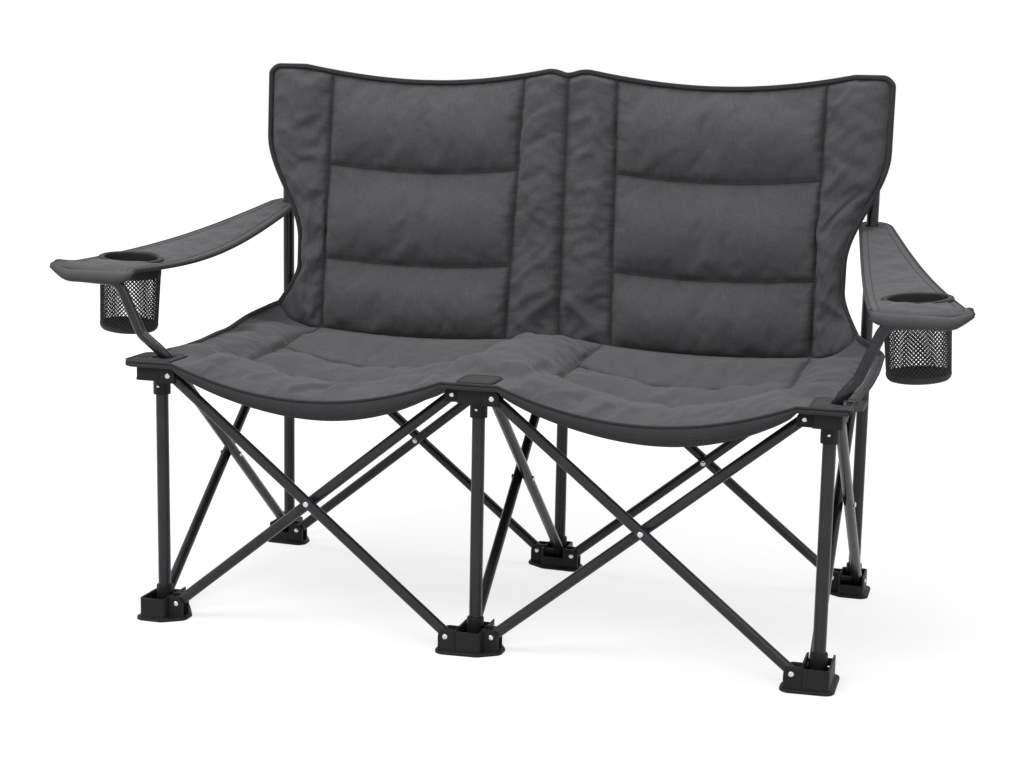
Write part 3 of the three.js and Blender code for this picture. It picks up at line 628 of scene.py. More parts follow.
# %% [markdown]
# ## Rivets
# Every pivot is a steel rivet with a domed head. The head is one small lathe, and a geometry node
# tree sets a copy on each pivot, turned to face out of it. Points carry their own outward direction.
# The tree ends in real faces, and each body gets one mesh of the rivets that travel with it.


# %% Rivet tree
def node_tree(name, inputs):
    tree = bpy.data.node_groups.new(name, "GeometryNodeTree")
    tree.interface.new_socket("Geometry", in_out="INPUT", socket_type="NodeSocketGeometry")
    for label, kind, value in inputs:
        socket = tree.interface.new_socket(label, in_out="INPUT", socket_type=kind)
        if value is not None:
            socket.default_value = value
    tree.interface.new_socket("Geometry", in_out="OUTPUT", socket_type="NodeSocketGeometry")
    return tree, tree.nodes.new("NodeGroupInput").outputs


def end_tree(tree, geometry, finish):
    real = put(tree, "GeometryNodeRealizeInstances", {0: geometry})
    clad = put(tree, "GeometryNodeSetMaterial", {"Geometry": real, "Material": finish})
    wire(tree, "NodeGroupOutput", {0: clad})


def on_points(tree, points, instance, **sockets):
    return put(tree, "GeometryNodeInstanceOnPoints", {"Points": points, "Instance": instance, **sockets})


def grown(obj, tree, values):
    """Runs a tree on an object with these inputs and keeps the result as a plain mesh."""
    modifier = obj.modifiers.new(tree.name, "NODES")
    modifier.node_group = tree
    for item in tree.interface.items_tree:
        if item.in_out == "INPUT" and item.name in values:
            modifier[item.identifier] = values[item.name]
    return baked(obj)


HEAD = [(0, -0.2), (4.6, -0.2), (5.0, 0.3), (4.7, 1.1), (3.8, 1.9), (2.2, 2.5), (0, 2.7)]
rivet_head = crisp(lathe("rivet_head", HEAD, ZINC, sides=20), 50)
rivet_tree, given = node_tree("rivets_on_pivots", [
    ("Head", "NodeSocketObject", None), ("Size", "NodeSocketFloat", 1.0)])
outs = put(rivet_tree, "GeometryNodeInputNamedAttribute", {"Name": "outward"}, data_type="FLOAT_VECTOR")
size = put(rivet_tree, "GeometryNodeInputNamedAttribute", {"Name": "size"}, data_type="FLOAT")
facing = put(rivet_tree, "FunctionNodeAlignRotationToVector", {"Vector": outs}, axis="Z")
shape = wire(rivet_tree, "GeometryNodeObjectInfo", {"Object": given["Head"]}).outputs["Geometry"]
end_tree(rivet_tree, on_points(rivet_tree, given["Geometry"], shape, Rotation=facing,
                               Scale=maths(rivet_tree, "MULTIPLY", size, given["Size"])), ZINC)

# %% Rivets on their bodies
HEAD_OUT, EAR_OUT, CHEEK_OUT = 16.8, 11.8, 20.5
pivots = {}


def pivot(node, place, facing, size=1.0):
    pivots.setdefault(body_of_node[node], []).append((place, facing, size))


for row, y in (("front", FRONT), ("rear", REAR)):
    for bay, x in (("left", -BAY / 2), ("right", BAY / 2)):
        for sign in (-1, 1):
            pivot(f"rivet_{row}_{bay}", (x, y - PLANE + sign * HEAD_OUT, CROSS_Z), (0, sign, 0))
for name, x in COLUMNS:
    for sign in (-1, 1):
        pivot(f"rivet_side_{name}", (x + sign * HEAD_OUT, MIDDLE, CROSS_Z), (sign, 0, 0))
    for fitting, y, z in (("foot_front", FRONT, PIN_Z), ("foot_rear", REAR, PIN_Z),
                          ("hub_front", FRONT, HUB_Z), ("slider_rear", REAR, HUB_Z)):
        node, inward = f"{fitting}_{name}", SIDE_PIN if y == FRONT else -SIDE_PIN
        for side in (-1, 1):
            if side in bays_beside(x):
                ear = y - PLANE + layer_of(side, z == PIN_Z, y == FRONT)
                for sign in (-1, 1):
                    pivot(node, (x + side * PIN_OUT, ear + EAR_OUT * sign, z), (0, sign, 0))
            pivot(node, (x + side * CHEEK_OUT, y + inward, z), (side, 0, 0), 0.8)
    pivot(f"hub_front_{name}", (x, FRONT - 13, 356), (0, -1, 0), 0.55)

for body, heads in pivots.items():
    places, facings, sizes = zip(*heads)
    mesh = bpy.data.meshes.new(f"rivets_{body}")
    mesh.from_pydata([Vector(p) * MM for p in places], [], [])
    mesh.attributes.new("outward", "FLOAT_VECTOR", "POINT").data.foreach_set(
        "vector", np.array(facings, np.float32).ravel())
    mesh.attributes.new("size", "FLOAT", "POINT").data.foreach_set("value", sizes)
    made = grown(linked(f"rivets_{body}", mesh), rivet_tree, {"Head": rivet_head, "Size": 0.85})
    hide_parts(*[n for n in frame["nodes"] if n.startswith("rivet_") and body_of_node[n] == body])
    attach(made, body)
bpy.data.objects.remove(rivet_head)

# %% [markdown]
# ## Sewn and stuffed panels
# Back, seat and armrests are padded panels: a cover and a lining over foam, sewn through along seams.
# Each starts as a grid over the shape that the panel hangs in, with a front and a rear layer. Seams and
# hems are pinned, then a short cloth simulation with air pressure and some spare cloth puffs what lies
# between them, so the puckers come from the sewing. A subdivision with creased seams smooths it.

# %% Shapes that the cloth hangs in
EDGE, SEAM_OUTER, SEAM_INNER, HEM = 524, 418, 78, 6
ACROSS = (-EDGE, HEM - EDGE, -SEAM_OUTER, -SEAM_INNER, 0, SEAM_INNER, SEAM_OUTER, EDGE - HEM, EDGE)
UPRIGHTS = ACROSS[2:-2]
BUCKETS = ((-SEAM_OUTER, -SEAM_INNER), (SEAM_INNER, SEAM_OUTER))
BACK_BOTTOM, BACK_TOP, FLARE_TOP = 388, 812, 500
SEAT_FRONT, SEAT_CUT, SEAT_REAR = -282, 88, 193
SEAT_END, SEAT_Z, FLAT = SEAT_REAR + 12, 395.3, 42
EPS, WAVE = 1e-6, 6.28


def ease(x, a, b):
    t = np.clip((np.asarray(x, float) - a) / (b - a), 0, 1)
    return t * t * (3 - 2 * t)


def mix(a, b, t):
    return a + (b - a) * t


def bump(value, centre, width):
    """A smooth bump of height 1."""
    return np.exp(-(((value - centre) / width) ** 2))


def bay_share(x):
    """0 at the columns and 1 midway between them."""
    return np.clip(1 - ((np.abs(x) - BAY / 2) / (BAY / 2)) ** 2, 0, None)


def sling_share(x):
    """The same, with a flat over each hub."""
    t = np.clip((np.abs(x) - FLAT) / (BAY - 2 * FLAT), 0, 1)
    return 4 * t * (1 - t)


def wing_share(u):
    """0 up to the outer seam and 1 at the edge."""
    return np.clip(np.abs(u) - SEAM_OUTER, 0, None) / (EDGE - SEAM_OUTER)


def back_point(u, v):
    side = wing_share(u)
    turn = np.clip((np.abs(u) - EDGE + 18) / 18, 0, 1)
    hump = np.clip((np.abs(np.abs(u) - 248) - 10) / 205, 0, 1) ** 1.8
    top = BACK_TOP + 23 * hump - 6 * bump(u, 0, 15) - 18 * (1 - np.sqrt(1 - turn**2))
    z = mix(BACK_BOTTOM - 10 * sling_share(u) + 26 * side**2, top, v)
    flare = 1 - ease(z, BACK_BOTTOM, FLARE_TOP)
    waist = mix(BAY - 36, EDGE, ease(z, 540, 716)) + 44 * flare
    spread = 13 * (1 - v) * bump(np.abs(u), SEAM_INNER, 80)
    x = u + np.sign(u) * (spread - side * (EDGE - waist))
    y = REAR + mix(-46, -18.5, v) + 34 * bay_share(u) * ease(v, 0.1, 1) - 30 * side * flare
    return np.stack(np.broadcast_arrays(x, y, z), -1)


def seat_point(u, y):
    """The wings run out nearly level, and rise and draw in at the very rear to meet the back."""
    forward = (SEAT_REAR - y) / (SEAT_REAR - SEAT_FRONT)
    side = wing_share(u)
    clear = ease(y, FRONT + 40, FRONT + 150)
    rear = ease(y, 150, SEAT_END)
    reach = 528 + 5 * ease(y, -150, 60) - 42 * rear
    x = u + np.sign(u) * side * (reach - EDGE)
    lift = 13 * ease(y, 60, 175) + 21 * rear - 4 * clear * (1 - ease(y, -40, 60))
    dip = sling_share(u) * mix(14, 41, ease(forward, 0, 1))
    sag = 26 * sling_share(u) * np.sin(np.pi * np.clip(forward, 0, 1))
    dish = 10 * np.sin(np.pi * side) * clear
    z = SEAT_Z - dip - sag - dish + lift * side**1.6
    return np.stack(np.broadcast_arrays(x, y - 18 * side * rear, z), -1)


# %% Seams, folds and gathers
def swell(value, seams, power=0.25):
    """0 on a seam and 1 in the middle between two; a higher power gives a rounder pillow."""
    seams = np.asarray(seams, float)
    i = np.clip(np.searchsorted(seams, value, side="left"), 1, len(seams) - 1)
    t = (value - (seams[i] + seams[i - 1]) / 2) / ((seams[i] - seams[i - 1]) / 2)
    return np.clip(1 - t * t, 0, 1) ** power


def lines_between(seams, spacing=7):
    """Grid lines at about this spacing, with one on every seam."""
    lines = [float(seams[0])]
    for a, b in zip(seams, seams[1:]):
        lines += list(np.linspace(a, b, max(1, round(abs(b - a) / spacing)) + 1)[1:])
    return np.array(lines)


def distance(values, lines):
    """Distance to the nearest of these lines."""
    return np.min([np.abs(values - line) for line in lines], axis=0)


def at(values, lines):
    """True where a value lies on one of these lines."""
    return distance(values, lines) < EPS


def in_channels(u):
    """True between the inner and the outer seam."""
    return (np.abs(u) > SEAM_INNER + EPS) & (np.abs(u) < SEAM_OUTER - EPS)


def on_channels(u):
    """True there and on the two seams."""
    return (np.abs(u) >= SEAM_INNER - EPS) & (np.abs(u) <= SEAM_OUTER + EPS)


def drift(u, v, scale, seed):
    """A slow random wave over the grid, about -1 to 1, the same on each run."""
    rng = np.random.default_rng(seed)
    total = np.zeros(np.broadcast(u, v).shape)
    for _ in range(6):
        a, b, phase = *rng.normal(0, 1 / scale, 2), rng.uniform(0, WAVE)
        total = total + np.sin(WAVE * (a * u + b * v) + phase)
    return total / 3


def ridge(run, pitch, sway):
    """A wave with narrow crests and wide hollows, as cloth buckles."""
    return 2 * (1 - np.abs(np.sin((WAVE * run / pitch + sway) / 2))) ** 2 - 0.4


def star(u, h, centre, folds):
    """Folds that fan out of the point where the panels are sewn together."""
    far, turn = np.hypot(u - centre, h + 6), np.arctan2(h + 6, u - centre)
    return 9 * np.exp(-far / 48) * np.cos(2 * folds * turn + 0.7)


def pinch(u, h):
    """The two dents beside the middle seam, just above the seat, and the fold that arches over them."""
    dents = bump(np.abs(u), 19, 14) * bump(h, 30, 22)
    arch = bump(h + 0.9 * np.abs(u), 78, 8) * bump(u, 0, 34)
    return 9 * arch - 15 * dents


def gathers(across, run, seams, seed, height=0.7, pitch=13):
    """Small waves on both sides of each seam, dying out away from it."""
    total = 0
    for k, seam in enumerate(seams):
        away = np.abs(across - seam)
        wave = np.sin(WAVE * run / pitch + 3.5 * drift(run, across, 70, seed + k))
        uneven = 0.5 + 0.5 * drift(run, across, 110, seed + 50 + k)
        total = total + wave * np.exp(-away / 12) * (1 - np.exp(-away / 3)) * uneven
    return height * total


# %% Panel maker
def set_values(mesh, name, domain, values):
    mesh.attributes.new(name, "FLOAT", domain).data.foreach_set("value", np.asarray(values, np.float32))


class Panel:
    """Two layers of cloth over a grid, joined round the edge."""

    def __init__(self, name, place, us, vs, front, rear, sewn, seed, uv, part=None):
        u, v = np.meshgrid(us, vs, indexing="ij")
        self.us, self.vs, self.u, self.v = us, vs, u, v
        step = 1e-2
        middle = place(u, v)
        along_u = place(u + step, v) - place(u - step, v)
        along_v = place(u, v + step) - place(u, v - step)
        self.normal = unit(np.cross(along_u, along_v))
        held = sewn(u, v)
        held[[0, -1], :] = True
        held[:, [0, -1]] = True
        wave = np.where(held, 0, seed(u, v))
        grain = np.where(held, 0, np.random.default_rng(7).normal(0, 0.2, u.shape))
        self.front = middle + self.normal * (front(u, v) + wave + grain)[..., None]
        lining = middle - self.normal * (rear(u, v) + grain)[..., None]
        n, m = u.shape
        top = np.arange(n * m).reshape(n, m)
        low = top + n * m
        cells = [(i, j) for i in range(n - 1) for j in range(m - 1)]
        faces = [(top[i, j], top[i + 1, j], top[i + 1, j + 1], top[i, j + 1]) for i, j in cells]
        faces += [(low[i, j], low[i, j + 1], low[i + 1, j + 1], low[i + 1, j]) for i, j in cells]
        for i in range(n - 1):
            faces += [(top[i, 0], low[i, 0], low[i + 1, 0], top[i + 1, 0]),
                      (top[i, -1], top[i + 1, -1], low[i + 1, -1], low[i, -1])]
        for j in range(m - 1):
            faces += [(top[0, j], top[0, j + 1], low[0, j + 1], low[0, j]),
                      (top[-1, j], low[-1, j], low[-1, j + 1], top[-1, j + 1])]
        points = np.concatenate([layer.reshape(-1, 3) for layer in (self.front, lining)])
        flat = np.tile(uv(u, v).reshape(-1, 2), (2, 1))
        self.obj = piece_of(name, points, [tuple(map(int, f)) for f in faces], CHARCOAL, flat)
        self.obj.data.materials.append(LINING)
        self.obj.data.polygons.foreach_set("material_index", [int(k >= len(cells)) for k in range(len(faces))])
        if part is not None:
            centre = np.tile(v.ravel(), 2)[np.array(faces)].mean(axis=1)
            marks = self.obj.data.attributes.new("rear_part", "INT", "FACE")
            marks.data.foreach_set("value", (centre > part).astype(np.int32))
        self.held = np.tile(held.ravel(), 2)

    def group(self, name, chosen):
        made = self.obj.vertex_groups.new(name=name)
        made.add([int(i) for i in np.nonzero(chosen)[0]], 1.0, "REPLACE")

    def stuff(self, pressure, spare, tight, where_tight, cap, calm=None, frames=18):
        """Puffs the panel between its pinned seams, less where it is calm, and keeps the result in its mesh."""
        obj, mesh = self.obj, self.obj.data
        before = values_of(mesh.vertices, "co", 3)
        self.group("sewn", self.held)
        self.group("snug", np.tile(where_tight(self.u, self.v).ravel(), 2))
        cloth = obj.modifiers.new("stuffing", "CLOTH")
        settings = cloth.settings
        settings.quality = 5
        settings.mass = 0.15
        settings.tension_stiffness = settings.compression_stiffness = 25
        settings.shear_stiffness = 12
        settings.bending_stiffness = 0.3
        settings.vertex_group_mass = "sewn"
        settings.use_pressure = True
        settings.uniform_pressure_force = pressure
        settings.vertex_group_shrink = "snug"
        settings.shrink_min, settings.shrink_max = -spare, -tight
        settings.effector_weights.gravity = 0
        cloth.collision_settings.use_collision = False
        cloth.point_cache.frame_start, cloth.point_cache.frame_end = 1, frames
        for now in range(1, frames + 1):
            bpy.context.scene.frame_set(now)
        puffed = obj.evaluated_get(bpy.context.evaluated_depsgraph_get()).data
        move = values_of(puffed.vertices, "co", 3) - before
        far = np.linalg.norm(move, axis=1, keepdims=True)
        move *= np.minimum(1, cap * MM / np.maximum(far, 1e-9))
        if calm is not None:
            move *= 1 - np.tile(calm(self.u, self.v).ravel(), 2)[:, None]
        obj.modifiers.clear()
        obj.vertex_groups.clear()
        bpy.context.scene.frame_set(1)
        after = before + move
        mesh.vertices.foreach_set("co", after.ravel())
        mesh.update()
        self.front = after[: self.u.size].reshape(*self.u.shape, 3) / MM
        print(obj.name, "puffed by up to", round(float(far.max()) / MM, 1), "mm")

    def smooth(self, crease, puckers=None, seams=None, painted_seam_shade=3.6):
        """One subdivision, with the sewn lines kept as creases, and the cover's puckers."""
        mesh = self.obj.data
        ends = values_of(mesh.edges, "vertices", 2, np.int32)
        set_values(mesh, "crease_edge", "EDGE", self.held[ends].all(axis=1) * crease)
        modifier = self.obj.modifiers.new("smoother", "SUBSURF")
        modifier.levels = modifier.render_levels = 1
        baked(self.obj)
        if puckers is not None:
            self.pucker(puckers, seams, painted_seam_shade)
        return self.obj

    def pucker(self, puckers, seams, painted_seam_shade):
        """Raises gathers beside the seams and marks how near each seam is, for the finish's pucker bumps and its
        painted seam shade.
        """
        mesh = self.obj.data
        corner = values_of(mesh.loops, "vertex_index", 1, np.int32)
        kind = values_of(mesh.polygons, "material_index", 1, np.int32)
        count = values_of(mesh.polygons, "loop_total", 1, np.int32)
        n = len(mesh.vertices)
        spot, cover = np.zeros((n, 2)), np.zeros(n)
        spot[corner] = values_of(mesh.uv_layers["cloth"].data, "uv", 2) / MM
        cover[corner[np.repeat(kind, count) == 0]] = 1
        place, normal = (values_of(mesh.vertices, key, 3) for key in ("co", "normal"))
        rise = cover * puckers(*spot.T) * MM
        mesh.vertices.foreach_set("co", (place + normal * rise[:, None]).ravel())
        upright, cross = seams(*spot.T)
        set_values(mesh, "beside_upright", "POINT", cover * np.exp(-upright / 17))
        set_values(mesh, "beside_cross", "POINT", cover * np.exp(-cross / 13))
        # How near a seam is: the finish darkens the cover's colour by it, a painted shade of the seam valley.
        set_values(mesh, "seam", "POINT", cover * bump(np.minimum(upright, cross), 0, painted_seam_shade))
        mesh.update()

    def line(self, u=None, v=None, span=(-math.inf, math.inf), lift=0.4):
        """Points along one grid line of the front layer, for a row of stitches."""
        if v is None:
            row, along = np.s_[np.argmin(np.abs(self.us - u)), :], self.vs
        else:
            row, along = np.s_[:, np.argmin(np.abs(self.vs - v))], self.us
        keep = (along >= span[0] - EPS) & (along <= span[1] + EPS)
        return (self.front[row] + self.normal[row] * lift)[keep]

    def normals_at(self, spots):
        return np.array([self.normal[np.argmin(np.abs(self.us - u)), np.argmin(np.abs(self.vs - v))]
                         for u, v in spots])


# %% [markdown]
# ## Thread and tape
# The edges are bound with a folded tape and the seams show a row of stitches. The tape is a flat
# rounded section swept along the edge, turned with the cloth. For the stitches, a geometry node tree
# turns a seam's line into a curve, steps along it by the stitch length and lays a short thread there.

# %% Stitch tree and tape
stitch_tree, sewn_in = node_tree("stitches_along_seam", [
    ("Pitch", "NodeSocketFloat", 0.005), ("Length", "NodeSocketFloat", 0.0036),
    ("Thread", "NodeSocketFloat", 0.0004)])
curve = put(stitch_tree, "GeometryNodeMeshToCurve", {0: sewn_in["Geometry"]})
steps = put(stitch_tree, "GeometryNodeResampleCurve", {"Curve": curve, "Length": sewn_in["Pitch"]}, mode="LENGTH")
lies = put(stitch_tree, "FunctionNodeAlignRotationToVector", {
    "Vector": put(stitch_tree, "GeometryNodeInputTangent")}, axis="Z")
bit = put(stitch_tree, "GeometryNodeMeshCylinder", {
    "Vertices": 5, "Radius": sewn_in["Thread"], "Depth": sewn_in["Length"]})
end_tree(stitch_tree, on_points(stitch_tree, steps, bit, Rotation=lies), THREAD)


def stitches(name, paths, pitch=5.0):
    points, edges = [], []
    for path in paths:
        edges += [(len(points) + k, len(points) + k + 1) for k in range(len(path) - 1)]
        points += [Vector(p) * MM for p in path]
    mesh = bpy.data.meshes.new(name)
    mesh.from_pydata(points, edges, [])
    sizes = {"Pitch": pitch * MM, "Length": 0.72 * pitch * MM, "Thread": 0.45 * MM}
    return grown(linked(name, mesh), stitch_tree, sizes)


def seam_shade_cords(name, paths):
    """A thin dark cord under each seam's stitches, put in as painted shade of the seam's hollow."""
    return [sweep(f"{name}_{k}", path, circle(1.4, 8), BINDING) for k, path in enumerate(paths)]


def tape_section(inner, outer, half, corner=2.2, steps=4):
    """A flat section with round corners, from outer beyond the edge to inner on the cloth."""
    points = []
    for cx, cy, start in ((inner - corner, half - corner, 0), (corner - outer, half - corner, 90),
                          (corner - outer, corner - half, 180), (inner - corner, corner - half, 270)):
        for k in range(steps + 1):
            a = math.radians(start + 90 * k / steps)
            points.append((cx + corner * math.cos(a), cy + corner * math.sin(a)))
    return points


TAPE_STEP = 4


def spaced(path, *others):
    """Points at an even spacing along a path, and other values carried with them."""
    run = run_along(path)
    where = np.linspace(0, run[-1], max(3, round(run[-1] / TAPE_STEP) + 1))
    return [np.stack([np.interp(where, run, a[:, k]) for k in range(3)], 1) for a in (path, *others)]


def bound(name, path, normals, inner=HEM, outer=1.5, half=3.5, tucked=0):
    """Binding tape along an edge, with its own row of stitches; tucked ends narrow into the next seam."""
    path, normals = spaced(path, unit(normals))
    _, side, up = frames_along(path, normals)
    ends = TAPE_STEP * np.minimum(np.arange(len(path)), np.arange(len(path))[::-1])
    narrow = np.clip(ends / tucked, 0.3, 1) if tucked else None
    tape = sweep(name, path, tape_section(inner, outer, half), BINDING, up=normals, scale=narrow)
    row = path + side * (inner - 2.2) + up * (half + 0.1)
    return [tape, stitches(f"{name}_stitches", [row])]


# %% [markdown]
# ## Back
# Each half of the back has three stuffed channels between two upright bolsters, and the bolsters of
# the two halves meet in a seam over the centre post. The upper edge dips between the posts, the sides
# draw in to a waist and the lower corners flare out to the seat. Spare cloth in the bolsters buckles
# into slanting folds.

# %% Back panel
BACK_H = BACK_TOP - BACK_BOTTOM
CHANNELS = [0, (510 - BACK_BOTTOM) / BACK_H, (662 - BACK_BOTTOM) / BACK_H, 1 - HEM / BACK_H, 1]
CROSS_H, TOP_H = [c * BACK_H for c in CHANNELS[1:3]], CHANNELS[3] * BACK_H


def hung(v):
    """Moves the fullest part of each channel below its middle, where the filling settles."""
    edges = np.array(CHANNELS)
    i = np.clip(np.searchsorted(edges, v, side="left"), 1, len(edges) - 1)
    low, high = edges[i - 1], edges[i]
    return low + (high - low) * np.clip((v - low) / (high - low), 0, 1) ** 0.78


def back_pad(u, v):
    upright = np.where(in_channels(u), swell(hung(v), CHANNELS, 0.8), swell(v, [0, CHANNELS[3], 1]))
    across = np.where(in_channels(u), swell(u, ACROSS), swell(u, ACROSS, 0.4))
    return across * upright * (np.abs(u) < EDGE - HEM) * (v < CHANNELS[3])


def back_sewn(u, v):
    return at(u, ACROSS) | (at(v, CHANNELS[1:3]) & on_channels(u)) | at(v, CHANNELS[3:])


def back_folds(u, v):
    h, aside = v * BACK_H, np.abs(u)
    away = np.where(aside > SEAM_OUTER, aside - SEAM_OUTER, SEAM_INNER - aside)
    slant = ridge(h - 0.75 * away, 52, 2.2 * drift(u, h, 160, 3))
    near = distance(aside, (SEAM_INNER, SEAM_OUTER))
    fan = ridge(h + 0.8 * near, 31, 2.4 * drift(u, h, 120, 6))
    draw = np.exp(-near / 24) * (0.5 + 0.5 * drift(u, h, 100, 8))
    drawn = pinch(u, h) + star(u, h, 0, 6) + star(aside, h, SEAM_OUTER + 34, 5)
    bolster = 3.6 * slant * (0.55 + 0.45 * drift(u, h, 120, 4)) + drawn
    return back_pad(u, v) * np.where(in_channels(u), 0.5 * drift(u, h, 90, 5) + 3.2 * fan * draw, bolster)


NO_SEAM = 99


def back_seams(u, h):
    """Distances to the nearest upright and to the nearest cross seam."""
    cross = np.where(in_channels(u), distance(h, CROSS_H), NO_SEAM)
    return distance(u, UPRIGHTS), np.minimum(cross, distance(h, [TOP_H]))


def back_puckers(u, h):
    """Fine gathers beside the seams, on cloth positions in millimetres."""
    return gathers(u, h, UPRIGHTS, 31) + gathers(h, u, CROSS_H, 32) * in_channels(u) + gathers(h, u, [TOP_H], 33)


back_panel = Panel(
    "back_cover", back_point, lines_between(ACROSS), lines_between([c * BACK_H for c in CHANNELS]) / BACK_H,
    lambda u, v: -0.8 + np.where(in_channels(u), 26.0, 16.0) * back_pad(u, v),
    lambda u, v: 3.5 + 4 * back_pad(u, v), back_sewn, back_folds, lambda u, v: np.stack([u, v * BACK_H], -1))
back_panel.stuff(2.2, 0.06, 0.025, lambda u, v: in_channels(u), 9)
around = [(-EDGE, v) for v in np.linspace(0, 1, 70)]
around += [(EDGE * math.sin(t), 1.0) for t in np.linspace(-math.pi / 2, math.pi / 2, 260)[1:-1]]
around += [(EDGE, v) for v in np.linspace(1, 0, 70)]
sewing = [back_panel.line(u=u) for u in UPRIGHTS]
sewing += [back_panel.line(v=v, span=bucket) for v in CHANNELS[1:3] for bucket in BUCKETS]
back = joined("back_cover", [
    back_panel.smooth(0.7, back_puckers, back_seams),
    *bound("back_binding", back_point(*np.array(around).T), back_panel.normals_at(around)),
    # The dark cords along the seams are painted shade of the seam valleys.
    *seam_shade_cords("back_seam", sewing), stitches("back_seams", sewing)])
replace(back, "back_panel")
print("back", len(back.data.polygons), "faces")

# %% [markdown]
# ## Seat
# One padded sheet makes both buckets. It hangs from the hubs and sags between them, the outer strips
# rise at the rear to meet the back, and a stuffed roll runs along the front. It is stuffed as one panel
# and then parted along a line, because the front part rides up with the hubs when the chair folds.

# %% Seat panel
ROLL, CROSS = -102, 34
SEAT_LINES = [SEAT_FRONT, SEAT_FRONT + 7, ROLL, CROSS, SEAT_CUT, SEAT_END]
BAND_SEAM = SEAT_LINES[1]
SEAT_ACROSS = [u for u in ACROSS if u != 0]
SEAT_UPRIGHTS = SEAT_ACROSS[2:-2]


def over_hub(u, y):
    """1 over the front hubs, where the cloth lies flat under a patch."""
    gap = np.minimum(np.abs(u), np.abs(np.abs(u) - BAY))
    return (1 - ease(gap, 44, 66)) * (1 - ease(y, FRONT + 36, FRONT + 72))


def on_roll(u):
    """1 where the roll's seam is sewn: it starts in the middle strip and runs out in the wing."""
    starts = ease(np.abs(u), SEAM_INNER - 52, SEAM_INNER - 20)
    return starts * (1 - ease(np.abs(u), SEAM_OUTER + 24, SEAM_OUTER + 70))


def seat_pad(u, y):
    loose = mix(swell(y, [BAND_SEAM, SEAT_END], 0.3), swell(y, [BAND_SEAM, ROLL, SEAT_END], 0.4), on_roll(u))
    rows = np.where(in_channels(u), swell(y, [BAND_SEAM, ROLL, CROSS, SEAT_END], 0.5), loose)
    whole = swell(u, [SEAT_ACROSS[k] for k in (0, 1, -2, -1)], 0.2)
    across = mix(whole, swell(u, SEAT_ACROSS, 0.35), ease(y, ROLL - 30, ROLL + 6))
    inside = (np.abs(u) < EDGE - HEM) & (y > BAND_SEAM)
    return across * rows * inside * (1 - over_hub(u, y)) * (1 - 0.6 * ease(y, 110, SEAT_REAR))


def seat_sewn(u, y):
    uprights = at(u, SEAT_UPRIGHTS) & (y >= ROLL - EPS)
    crossing = (at(y, [ROLL]) & (on_roll(u) > 0.5)) | (at(y, [CROSS]) & on_channels(u)) | at(y, SEAT_LINES[:2])
    return uprights | crossing | (np.abs(u) >= EDGE - HEM - EPS) | (over_hub(u, y) > 0.6)


def seat_folds(u, y):
    aside = np.abs(u)
    full = 0.35 + 1.5 * bump(y - SEAT_FRONT, 42, 38)
    roll = ridge(u, 52, 2.8 * drift(u, y, 150, 11)) * (y < ROLL) * full
    wing = ridge(y - 0.5 * aside, 52, 2.0 * drift(u, y, 150, 12)) * (aside > SEAM_OUTER) * (y >= ROLL)
    middle = ridge(y + 0.6 * aside, 46, 2.0 * drift(u, y, 120, 13)) * (aside < SEAM_INNER)
    calm = ease(SEAT_REAR - y, 0, 70) * seat_pad(u, y)
    tuck = -17 * bump(u, 0, 15) * ease(y, 80, 170) * swell(u, SEAT_ACROSS)
    uneven = 0.6 + 0.4 * drift(u, y, 110, 14)
    bucket = 0.8 * drift(u, y, 110, 15) * in_channels(u)
    return tuck + calm * (2.8 * (roll + wing + 0.4 * middle) * uneven + bucket)


def seat_puckers(u, y):
    total = gathers(u, y, SEAT_UPRIGHTS, 41) * (y > ROLL) + gathers(y, u, [ROLL], 42, 1.4, 17) * on_roll(u)
    total = total + gathers(y, u, [CROSS], 43) * in_channels(u) + gathers(y, u, [BAND_SEAM], 44, 1.2, 15)
    return total * (1 - over_hub(u, y)) * ease(SEAT_REAR - y, 0, 40)


def seat_seams(u, y, fade=60):
    """Distances as on the back; fade takes a seam away where it isn't sewn or lies hidden."""
    rolled = np.abs(y - ROLL) + fade * (1 - on_roll(u))
    cross = np.minimum(rolled, np.where(in_channels(u), np.abs(y - CROSS), NO_SEAM))
    hidden = fade * over_hub(u, y) + fade * ease(y, SEAT_REAR - 30, SEAT_REAR)
    return distance(u, SEAT_UPRIGHTS) + hidden + fade * (y < ROLL - 1), cross + hidden


seat_panel = Panel(
    "seat_cover", seat_point, lines_between(SEAT_ACROSS), lines_between(SEAT_LINES),
    lambda u, y: 0.2 + np.where(y < ROLL, 18.0, 15.0) * seat_pad(u, y), lambda u, y: 3 + 3.5 * seat_pad(u, y),
    seat_sewn, seat_folds, lambda u, y: np.stack([u, y], -1), part=SEAT_CUT)
seat_panel.stuff(1.8, 0.06, 0.025, lambda u, y: (in_channels(u) & (y > ROLL)) | (y > 110), 10,
                 calm=lambda u, y: 0.9 * ease(y, 110, 175))
seat_rows = {node: [seat_panel.line(u=u, span=span) for u in SEAT_UPRIGHTS]
             for node, span in (("seat_front", (ROLL, SEAT_CUT)), ("seat_rear", (SEAT_CUT, SEAT_END)))}
RUN_IN, RUN_OUT = 36, 46
seat_rows["seat_front"] += [
    seat_panel.line(v=ROLL, span=span)
    for span in ((-SEAM_OUTER - RUN_OUT, RUN_IN - SEAM_INNER), (SEAM_INNER - RUN_IN, SEAM_OUTER + RUN_OUT))]
seat_rows["seat_front"] += [seat_panel.line(v=CROSS, span=bucket) for bucket in BUCKETS]
seat_whole = seat_panel.smooth(0.7, seat_puckers, seat_seams, 6.5)


def part_of(obj, name, rear):
    """One side of the line that parts the seat, shaded as if the seat were still whole."""
    key = lambda v: tuple(round(c, 6) for c in v.co)
    half = obj.data.copy()
    half.name = name
    with edited(half) as bm:
        mark = bm.faces.layers.int["rear_part"]
        normals = {key(v): v.normal.copy() for v in bm.verts}
        bmesh.ops.delete(bm, geom=[f for f in bm.faces if f[mark] != rear], context="FACES")
    half.normals_split_custom_set_from_vertices([normals[key(v)] for v in half.vertices])
    return linked(name, half)


